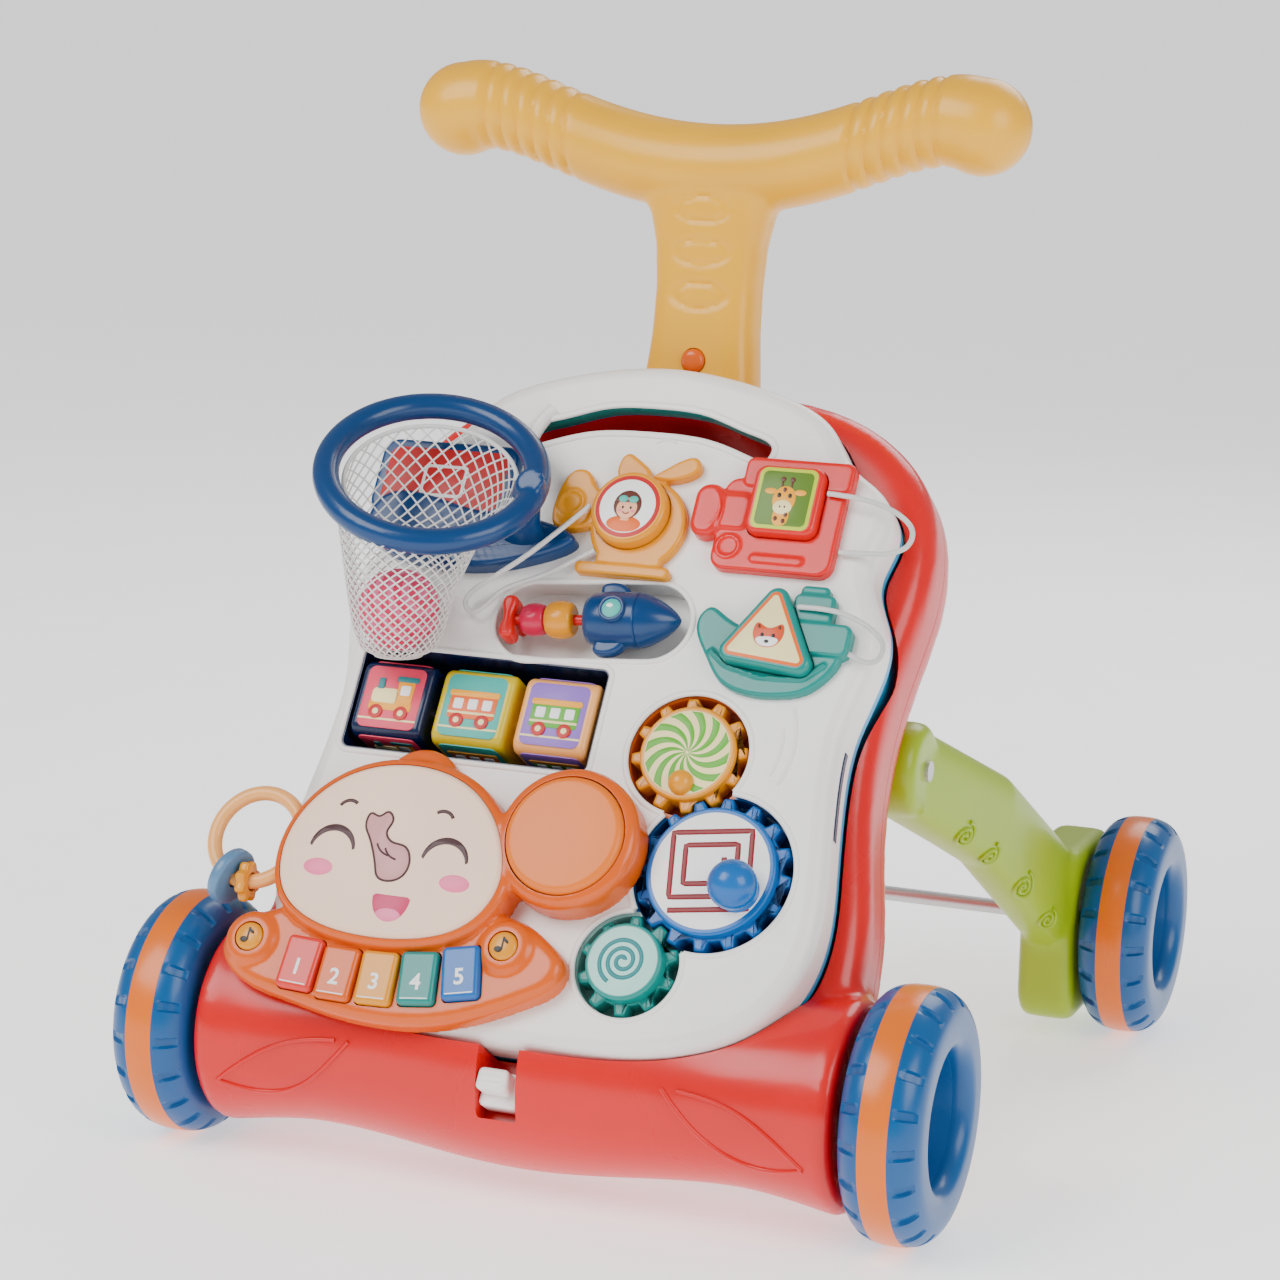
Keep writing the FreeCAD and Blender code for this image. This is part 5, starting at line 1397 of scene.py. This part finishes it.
class WALKER_OT_rocket(bpy.types.Operator):
    """Turns the rocket, its red rod and the two beads"""
    bl_idname = "walker.rocket"
    bl_label = "Rocket"

    def execute(self, context):
        nose = np.radians(np.linspace(4, 90, 16))
        profile = [(-8.3, 0.2), (-8.3, 7.4), (-8, 9.4), (-7.4, 10.8), (-4, 12.8), (3, 13.6),
                   (10, 13.5)]
        profile += [(17.6, 13.3), (18.2, 12.7), (18.8, 13.1)]
        profile += [(18.8 + 19.2 * sin(a), 0.3 + 12.8 * (1 - sin(a) ** 1.35) ** 0.72) for a in nose]
        fin_edge = soft_polygon([(-4, -18.5), (9, -18.5), (15, -9), (15, 9), (9, 18.5), (-4, 18.5), (-2, 9),
                                 (-2, -9)], 3)
        forms = [turned(profile, 72), pillow(fin_edge, -3.6, 3.6, top=2.2, bottom=2.2),
                 pillow(circle(8, 0, 6.6), 8, 14.6, top=1.0), pillow(circle(-2, 0, 5), -14.5, 0, top=0.2)]
        forms.append(ridge(circle(8, 0, 5.6), 14.4, 1.5, 0.9, closed=True))
        piece("rocket_skin", "play_panel", moved(joined(*forms), on_rocket), "navy", replaces="rocket_body",
              slot="navy_plastic")
        # the window is a teal disc; the small white oval off its middle is a painted highlight
        port = [(circle(8, 0, 4.6, 40), "print_teal", 1), (oval(7, 1.4, 1.6, 1.0, 20), "print_white", 2)]
        picture("rocket_port", "play_panel", port, lambda p: on_rocket(p + (0, 0, 14.62)))
        tail_edge = soft_polygon([(-49.6, -11), (-44.4, -11), (-43.2, -7), (-45.2, 0), (-43.2, 7),
                                  (-44.4, 11),
                                  (-49.6, 11), (-51.4, 7), (-49.2, 0), (-51.4, -7)], 3)
        rod = [(-48, 0.2), (-48, 2.5), (-7, 2.5), (-7, 0.2)]
        red = [pillow(tail_edge, -6, 6, top=2.4, bottom=2.4), turned(rod, 32),
               pillow(circle(-46, 0, 2.5), -14.5, 0, top=0.2)]
        piece("rocket_rod_skin", "play_panel", moved(joined(*red), on_rocket), "poppy", replaces="rocket_rod",
              slot="red_plastic")
        piece("red_bead_skin", "red_bead", moved(turned(bead_profile(-40.8, 12, 7.9), 56), on_rocket),
              "magenta",
              replaces="red_bead")
        piece("yellow_bead_skin", "yellow_bead",
              moved(turned(bead_profile(-28.5, 13.5, 9.1), 56), on_rocket), "amber",
              replaces="yellow_bead")
        return {"FINISHED"}


# ---- lift-off shapes ------------------------------------------------------------------------------------
def rounded_convex(points, radius, count=10):
    """A convex outline pushed out by a radius, with an arc at each corner between its sides' directions."""
    p = anticlockwise(np.asarray(points, float))
    rows = []
    for k in range(len(p)):
        before, here, after = p[k - 1], p[k], p[(k + 1) % len(p)]
        start = atan2(*(here - before)[::-1]) - pi / 2
        sweep = (atan2(*(after - here)[::-1]) - pi / 2 - start) % (2 * pi)
        a = start + np.linspace(0, sweep, count)
        rows.append(here + radius * np.stack([np.cos(a), np.sin(a)], 1))
    return np.concatenate(rows)


class WALKER_OT_shapes(bpy.types.Operator):
    """Moulds the helicopter, camera and boat and their lift-off blocks with pictures"""
    bl_idname = "walker.shapes"
    bl_label = "Lift-off shapes"

    def execute(self, context):
        self.helicopter()
        self.camera()
        self.boat()
        return {"FINISHED"}

    def base(self, name, forms, seat, finish, slot):
        mesh = melted(moved(joined(*forms), to_world), 0.7, smooth=1)
        mesh = carved(mesh, moved(pillow(seat, 2.0, 30, top=0.2), to_world))
        show(mesh, name + "_base_skin", "play_panel", finish, replaces=name + "_base", slot=slot)

    def block(self, name, outline, finish, layers, slot):
        body = pillow(outline, 2.2, 12, top=2.6, bottom=0.4, steps=8)
        panel_piece(name + "_block_skin", name + "_block", body, finish, replaces=name + "_block", slot=slot)
        picture(name + "_print", name + "_block", layers, on_face(12.02), slot=slot)

    def helicopter(self):
        forms = [pillow(circle(6.5, 262, 24), -0.5, 5, top=2),
                 pillow(soft_polygon([(-12, 262), (-18, 258), (-34, 255), (-39, 264), (-35, 287), (-24, 289),
                                      (-18, 278), (-10, 277)], 2), -0.5, 6, top=1.4),
                 pillow(soft_polygon([(-10, 284), (-10, 295), (-6, 299), (-1, 296), (9, 289), (4, 282)], 2),
                        -0.5, 6, top=1.4),
                 pillow(soft_polygon([(7, 286), (12, 290), (23, 298), (29, 299), (32, 294), (29, 289),
                                      (18, 285)], 2),
                        -0.5, 6, top=1.4),
                 pillow(rounded_rectangle(-20, 235, 28, 241, 2.8), -0.5, 5.6, top=1.4),
                 ridge(circle(-29, 270, 6.0), 6, 1.6, 0.8, closed=True)]
        forms += [pillow(soft_polygon([(x - 3, 240), (x + 3, 240), (x + 2, 250), (x - 2, 250)], 2), -0.5,
                         4.8, top=1)
                  for x in (-8, 20)]
        self.base("helicopter", forms, circle(2.5, 267.5, 19.4), "amber", "amber_plastic")
        head = [(circle(0, 0, 16.0, 96), "print_red", 1), (circle(0, 0, 13.9, 96), "print_white", 2),
                (oval(0, -9.2, 8.6, 4.2), "print_orange", 3),
                (rounded_rectangle(-2.2, -7.6, 2.2, -4, 0.8), "print_skin", 4),
                (oval(0, 0.6, 6.9, 7.4), "print_brown", 4), (oval(0, -1.2, 5.1, 5.4), "print_skin", 5),
                (rounded_rectangle(-6.2, 1.8, 6.2, 3.2, 0.4), "print_brown", 6),
                (oval(-2.6, 3.4, 2.3, 1.8), "print_teal", 7), (oval(2.6, 3.4, 2.3, 1.8), "print_teal", 7)]
        head += [(oval(x, -0.9, 0.55, 0.75, 16), "print_black", 6) for x in (-2.0, 2.0)]
        head += [(oval(x, -2.6, 0.9, 0.6, 16), "print_pink", 6) for x in (-3.2, 3.2)]
        head.append((ridge(arc(0, -2.4, 1.7, 205, 335, 12), 0.8, 0.5, 0.3), "print_maroon", 6))
        place = lambda form: (moved(form, lambda p: p + (2.5, 267.5, 0)) if isinstance(form, tuple)
                              else form + (2.5, 267.5))
        head = [(place(form), ink, level) for form, ink, level in head]
        self.block("helicopter", circle(2.5, 267.5, 18.8), "amber", head, "amber_plastic")

    def camera(self):
        forms = [pillow(rounded_rectangle(46, 243, 106, 290, 7), -0.5, 6, top=1.6),
                 pillow(rounded_rectangle(33, 258, 48, 285, 7), -0.5, 9, top=3.2),
                 pillow(rounded_rectangle(40, 262, 62, 282, 5), -0.5, 7.4, top=3.0),
                 pillow(rounded_rectangle(54, 285, 108, 301, 4), -0.5, 7, top=1.8),
                 ridge(circle(54, 254, 5.4), 6, 1.6, 0.8, closed=True),
                 ridge(arc(33, 271, 14, -40, 40, 24), 8.6, 1.4, 0.8),
                 pillow(rounded_rectangle(66, 247, 92, 251, 1.8), 4, 6.8, top=0.6)]
        plate = rounded_rectangle(61, 260, 96, 295.5, 6)
        self.base("camera", forms, grown(plate, 0.4), "poppy", "red_plastic")
        head = [(rounded_rectangle(-14.2, -15.6, 14.2, 15.6, 3.6), "print_lime", 1),
                (rounded_rectangle(-12.4, -13.8, 12.4, 13.8, 2.6), "print_olive", 2),
                (soft_polygon([(-4.4, -14), (4.4, -14), (3.4, -2), (-3.4, -2)], 2), "print_gold", 3),
                (oval(0, -0.5, 5.6, 6.8), "print_gold", 4), (oval(0, -4.6, 4.6, 3.6), "print_cream", 5),
                (oval(-7.2, 3.4, 3.0, 1.5), "print_gold", 3), (oval(7.2, 3.4, 3.0, 1.5), "print_gold", 3)]
        for x in (-2.3, 2.3):
            head += [(rounded_rectangle(x - 0.5, 5.4, x + 0.5, 9.6, 0.4, 3), "print_brown", 3),
                     (circle(x, 9.8, 1.2, 20), "print_brown", 4),
                     (oval(x * 1.15, 1.4, 0.9, 1.2, 20), "print_black", 6),
                     (oval(x * 0.5, -4.4, 0.4, 0.6, 12), "print_brown", 6)]
        spots = ((-2.2, -10.5), (1.8, -11.5), (2.4, -8.2), (-0.4, 4.4))
        head += [(oval(x, y, 0.9, 1.2, 16), "print_brown", 5) for x, y in spots]
        head = [(form + (78.5, 277.8), ink, level) for form, ink, level in head]
        self.block("camera", grown(plate, -0.2), "poppy", head, "red_plastic")

    def boat(self):
        forms = [pillow(loop(HULL_EDGE, 200), -0.5, 5, top=2),
                 pillow(rounded_rectangle(88, 204, 123, 220, 4.0), -0.5, 7.4, top=1.4),
                 pillow(rounded_rectangle(92, 214, 112, 234, 3), -0.5, 6.4, top=1.4),
                 pillow(rounded_rectangle(94, 230, 108, 238.5, 2.4), -0.5, 5.4, top=1.4),
                 ridge(line((57, 202), (66, 195), (84, 190.5), (104, 192), (113, 200)), 5.6, 1.8, 0.9)]
        corners = [(85.5, 228), (69, 201), (102, 198)]
        self.base("boat", forms, rounded_convex(corners, 6.4), "teal", "teal_plastic")
        middle = np.mean(corners, 0)
        small = (np.array(corners) - middle) * 0.98 + middle
        layers = [(rounded_convex(small, 3.2), "print_orange", 1),
                  (rounded_convex(small, 1.6), "print_cream", 2)]
        c = middle + (0.2, -1.0)
        layers += [(soft_polygon([c + (-8, 1), c + (-6.6, 8), c + (-1.6, 4.6), c + (1.6, 4.6), c + (6.6, 8),
                                  c + (8, 1),
                                  c + (4, -5), c + (-4, -5)], 3), "print_fox", 3),
                   (soft_polygon([c + (-6.4, -0.6), c + (0, 0.6), c + (6.4, -0.6), c + (3.4, -4.6),
                                  c + (-3.4, -4.6)], 3),
                    "print_white", 4), (oval(*c + (0, -2.2), 1.1, 0.8, 20), "print_black", 6)]
        layers += [(oval(*c + (x, 0.9), 0.75, 0.95, 20), "print_black", 6) for x in (-2.7, 2.7)]
        layers += [(soft_polygon([c + (x - 1, 4.4), c + (x, 6.6), c + (x + 1, 4.2)], 2), "print_brown", 5)
                   for x in (-5, 5)]
        self.block("boat", rounded_convex(corners, 5.8), "teal", layers, "teal_plastic")


# ---- hoop, net and ball -----------------------------------------------------------------------------------
HOOP_CENTRE, HOOP_RADIUS, HOOP_TUBE = (-85.0, 262.0, 45.0), 50.0, 6.3
HOOP_LEAN = np.array([0.22, -0.48, 0.85]) / np.linalg.norm([0.22, -0.48, 0.85])
BALL_PLACE, BALL_RADIUS = (-93.0, 199.0, 25.0), 19.5


def ring_points(centre, normal, radius, count):
    """Places round a circle in the walker's own axes, started on the side that lies most along X."""
    normal = np.asarray(normal, float) / np.linalg.norm(normal)
    first = ACROSS - normal * normal[0]
    first /= np.linalg.norm(first)
    second = np.cross(normal, first)
    a = np.linspace(0, 2 * pi, count, endpoint=False)[:, None]
    return np.asarray(centre) + (first * np.cos(a) + second * np.sin(a)) * radius, normal


class WALKER_OT_hoop(bpy.types.Operator):
    """Makes the ball hoop, its shelf and board, the knotted net and the striped ball"""
    bl_idname = "walker.hoop"
    bl_label = "Hoop, net and ball"

    def execute(self, context):
        centre = to_world([HOOP_CENTRE])[0]
        circle_line, normal = ring_points(centre, HOOP_LEAN, HOOP_RADIUS, 120)
        ring = ribbon(circle_line, normal, HOOP_TUBE * 2.05, HOOP_TUBE, closed=True, count=28)
        a = np.linspace(0, 2 * pi, 40, endpoint=False)
        rows = [((-49, 249.5, 4), 13.0, 6.8), ((-48, 250, 10), 11.5, 6.4), ((-46, 252.5, 18), 9.5, 6.4),
                ((-42.5, 256.5, 27), 8.5, 6.8), ((-38.5, 262, 36), 8.0, 7.6), ((-36.5, 264, 41), 7.0, 7.0)]
        neck = grid(np.array([np.stack([x + wide * np.cos(a), s + deep * np.sin(a), np.full(40, h)], 1)
                              for (x, s, h), wide, deep in rows]), close_columns=True)
        neck = capped(neck, 40)
        mesh = melted(joined(ring, moved(neck, to_world)), 1.2, smooth=6)
        show(mesh, "hoop_skin", "play_panel", "navy", replaces="hoop_ring", slot="navy_plastic")
        shelf = [pillow(loop(SHELF_EDGE, 200), -0.3, 10, top=3),
                 pillow(rounded_rectangle(-133, 256, -60, 296, 8), 3, 8, top=2)]
        panel_piece("hoop_shelf", "play_panel", joined(*shelf), "navy", replaces="hoop_bracket",
              slot="navy_plastic")
        board = [(rounded_rectangle(-128, 261, -65, 291.5, 5), "print_red", 1),
                 (rounded_rectangle(-108, 266, -85, 283, 2), "print_white", 2),
                 (rounded_rectangle(-106.4, 267.6, -86.6, 281.4, 1.4), "print_red", 3)]
        picture("hoop_board_print", "play_panel", board, on_face(8.0))
        self.net()
        self.ball()
        return {"FINISHED"}

    def net(self):
        """Threads that wind both ways down the net, from its rings: place = ring centre + radius at the angle
        first angle + swing * share of the way down, all eased between the rings."""
        up = (0.0, 0.0, 1.0)
        levels = [((-85.5, 258.5, 43.0), HOOP_LEAN, 41.0), ((-88, 234, 44), up, 34.5),
                  ((-92, 207.5, 30.5), up, 25.5),
                  ((-93, 192.7, 20.9), up, 21.8), ((-93, 184, 15.6), up, 18.0), ((-93, 181, 13.6), up, 11.0)]
        centres = to_world([place for place, _, _ in levels])
        normals = np.array([way for _, way, _ in levels], float)
        radii = np.array([radius for _, _, radius in levels])
        knots = np.concatenate([[0], np.cumsum(np.linalg.norm(np.diff(centres, axis=0), axis=1) + 3)])
        count = sizes().net_rows * 3
        t = np.linspace(0, knots[-1], count)
        centre = np.stack([np.interp(t, knots, centres[:, k]) for k in range(3)], 1)
        normal = np.stack([np.interp(t, knots, normals[:, k]) for k in range(3)], 1)
        normal /= np.linalg.norm(normal, axis=1)[:, None]
        radius = np.interp(t, knots, radii)
        first = ACROSS - normal * normal[:, :1]
        first /= np.linalg.norm(first, axis=1)[:, None]
        second = np.cross(normal, first)
        share = t / t[-1]
        thread = sizes().net_thread / MM
        cells = sizes().net_cells
        swing = 2 * pi * sizes().net_rows / cells / 1.15
        strands = []
        for k in range(cells):
            for way in (1, -1):
                angle = 2 * pi * k / cells + way * swing * share
                radial = first * np.cos(angle)[:, None] + second * np.sin(angle)[:, None]
                weave = 0.2 * np.sin(cells * angle / 2)
                path = centre + radial * (radius + weave)[:, None]
                strands.append(self.strand(path, radial, thread))
        rim, rim_normal = ring_points(centres[0], HOOP_LEAN, radii[0], 160)
        strands.append(ribbon(rim, rim_normal, 2.2, 1.1, closed=True, count=8))
        foot, foot_normal = ring_points(centres[-1], up, radii[-1], 60)
        strands.append(ribbon(foot, foot_normal, 1.6, 0.8, closed=True, count=6))
        piece("net_threads", "play_panel", joined(*strands), "net_thread", replaces="net", slot="net_mesh")

    def strand(self, path, radial, width):
        along = np.gradient(path, axis=0)
        across = np.cross(radial, along)
        across /= np.linalg.norm(across, axis=1)[:, None]
        a = np.linspace(0, 2 * pi, 5, endpoint=False)
        points = (path[:, None] + across[:, None] * (width / 2 * np.cos(a))[None, :, None]
                  + radial[:, None] * (width / 2 * np.sin(a))[None, :, None])
        return capped(grid(points, close_columns=True), 5)

    def ball(self):
        """A ball whose radius dips a little in rings about a tilted axis; the dips are the pale stripes."""
        lat = np.linspace(-pi / 2 + 0.01, pi / 2 - 0.01, 181)
        wave = np.cos(lat * 17)
        dip = 0.45 * np.clip((wave - 0.15) * 4, 0, 1)
        r = BALL_RADIUS - 0.05 - dip
        profile = np.stack([r * np.sin(lat), r * np.cos(lat)], 1)
        shape = turned(profile, 96, "z")
        tilt = np.array(Matrix.Rotation(radians(58), 3, "Y") @ Matrix.Rotation(radians(20), 3, "X"))
        centre = to_world([BALL_PLACE])[0]
        mesh = mesh_of("ball_skin", moved(shape, lambda p: p @ tilt.T + centre))
        ring_is_pale = (dip[:-1] + dip[1:]) > 0.3
        numbers = np.zeros(len(mesh.polygons), np.int32)
        numbers[:len(ring_is_pale) * 96] = np.repeat(ring_is_pale.astype(np.int32), 96)
        mesh.polygons.foreach_set("material_index", numbers)
        show(mesh, "ball_skin", "ball", ["pink_ball", "print_pink"], replaces="ball", slot="ball_rubber")


# ---- ear ring ------------------------------------------------------------------------------------------
EAR_RING = (-140.0, 83.6, 11.0)


class WALKER_OT_ear_ring(bpy.types.Operator):
    """Makes the pale ring that stands out as the other ear, with its two beads"""
    bl_idname = "walker.ear_ring"
    bl_label = "Ear ring"

    def execute(self, context):
        line_round = flat_path(circle(EAR_RING[0], EAR_RING[1], 22.0, 96), EAR_RING[2])
        ring = ribbon(line_round, (0, 0, 1), 7.0, 3.5, closed=True, count=24)
        panel_piece("ear_ring_skin", "play_panel", ring, "peach", replaces="ear_ring", slot="peach_plastic")
        self.bead("ear_bead_round", 248, 13.8, 6.0, 0, "grey_blue", ["ear_beads"])
        self.bead("ear_bead_star", 272, 9.9, 5.0, 8, "amber", [])
        return {"FINISHED"}

    def bead(self, name, angle_round, radius, length, lobes, finish, stands_for):
        """A thick washer on the ring; with lobes, its edge swings in and out with the cosine of the lobes
        times the angle."""
        a = radians(angle_round)
        place = np.array(EAR_RING) + np.array([cos(a), sin(a), 0]) * 22.0
        along = np.array([-sin(a), cos(a), 0])
        out = np.array([cos(a), sin(a), 0])
        round_angle = np.linspace(0, 2 * pi, 96, endpoint=False)
        edge = radius + (0.9 * np.cos(lobes * round_angle) - 0.9 if lobes else 0 * round_angle)
        half, soft = length / 2, 1.8
        t = np.linspace(-pi / 2, pi / 2, 9)
        inner = np.full(96, 4.5)
        rings = [(inner, -half), (inner + 1.5, -half)]
        rings += [(edge - soft + soft * np.cos(q), (half - soft) * np.sign(q) + soft * np.sin(q)) for q in t]
        rings += [(inner + 1.5, half), (inner, half)]
        points = np.array([place + (out * np.cos(round_angle)[:, None]
                                    + np.array([0, 0, 1]) * np.sin(round_angle)[:, None])
                           * r[:, None] + along * h for r, h in rings])
        shape = grid(points, close_rows=True, close_columns=True)
        panel_piece(name, "ear_beads", shape, finish, replaces=stands_for)


# ---- add-on --------------------------------------------------------------------------------------------
PIECES = [WALKER_OT_stage, WALKER_OT_finishes, WALKER_OT_strings, WALKER_OT_wheels, WALKER_OT_frame,
          WALKER_OT_handle, WALKER_OT_legs, WALKER_OT_panel, WALKER_OT_piano, WALKER_OT_gears,
          WALKER_OT_blocks, WALKER_OT_rocket, WALKER_OT_shapes, WALKER_OT_hoop, WALKER_OT_ear_ring]


class WALKER_PT_panel(bpy.types.Panel):
    """Lists the walker's makers and its settings"""
    bl_idname = "WALKER_PT_panel"
    bl_label = "Baby walker"
    bl_space_type = "VIEW_3D"
    bl_region_type = "UI"
    bl_category = "Walker"

    def draw(self, context):
        for settings in (context.scene.walker_sizes, context.scene.walker_light):
            for name in settings.bl_rna.properties.keys():
                if name not in ("rna_type", "name"):
                    self.layout.prop(settings, name)
        for maker in PIECES:
            self.layout.operator(maker.bl_idname)


CLASSES = [WalkerSizes, WalkerLight, *PIECES, WALKER_PT_panel]


def register():
    for one in CLASSES:
        bpy.utils.register_class(one)
    bpy.types.Scene.walker_sizes = bpy.props.PointerProperty(type=WalkerSizes)
    bpy.types.Scene.walker_light = bpy.props.PointerProperty(type=WalkerLight)


def unregister():
    del bpy.types.Scene.walker_sizes
    del bpy.types.Scene.walker_light
    for one in reversed(CLASSES):
        bpy.utils.unregister_class(one)


def main():
    register()
    for maker in PIECES:
        group, name = maker.bl_idname.split(".")
        getattr(getattr(bpy.ops, group), name)()


if __name__ == "__main__":
    main()
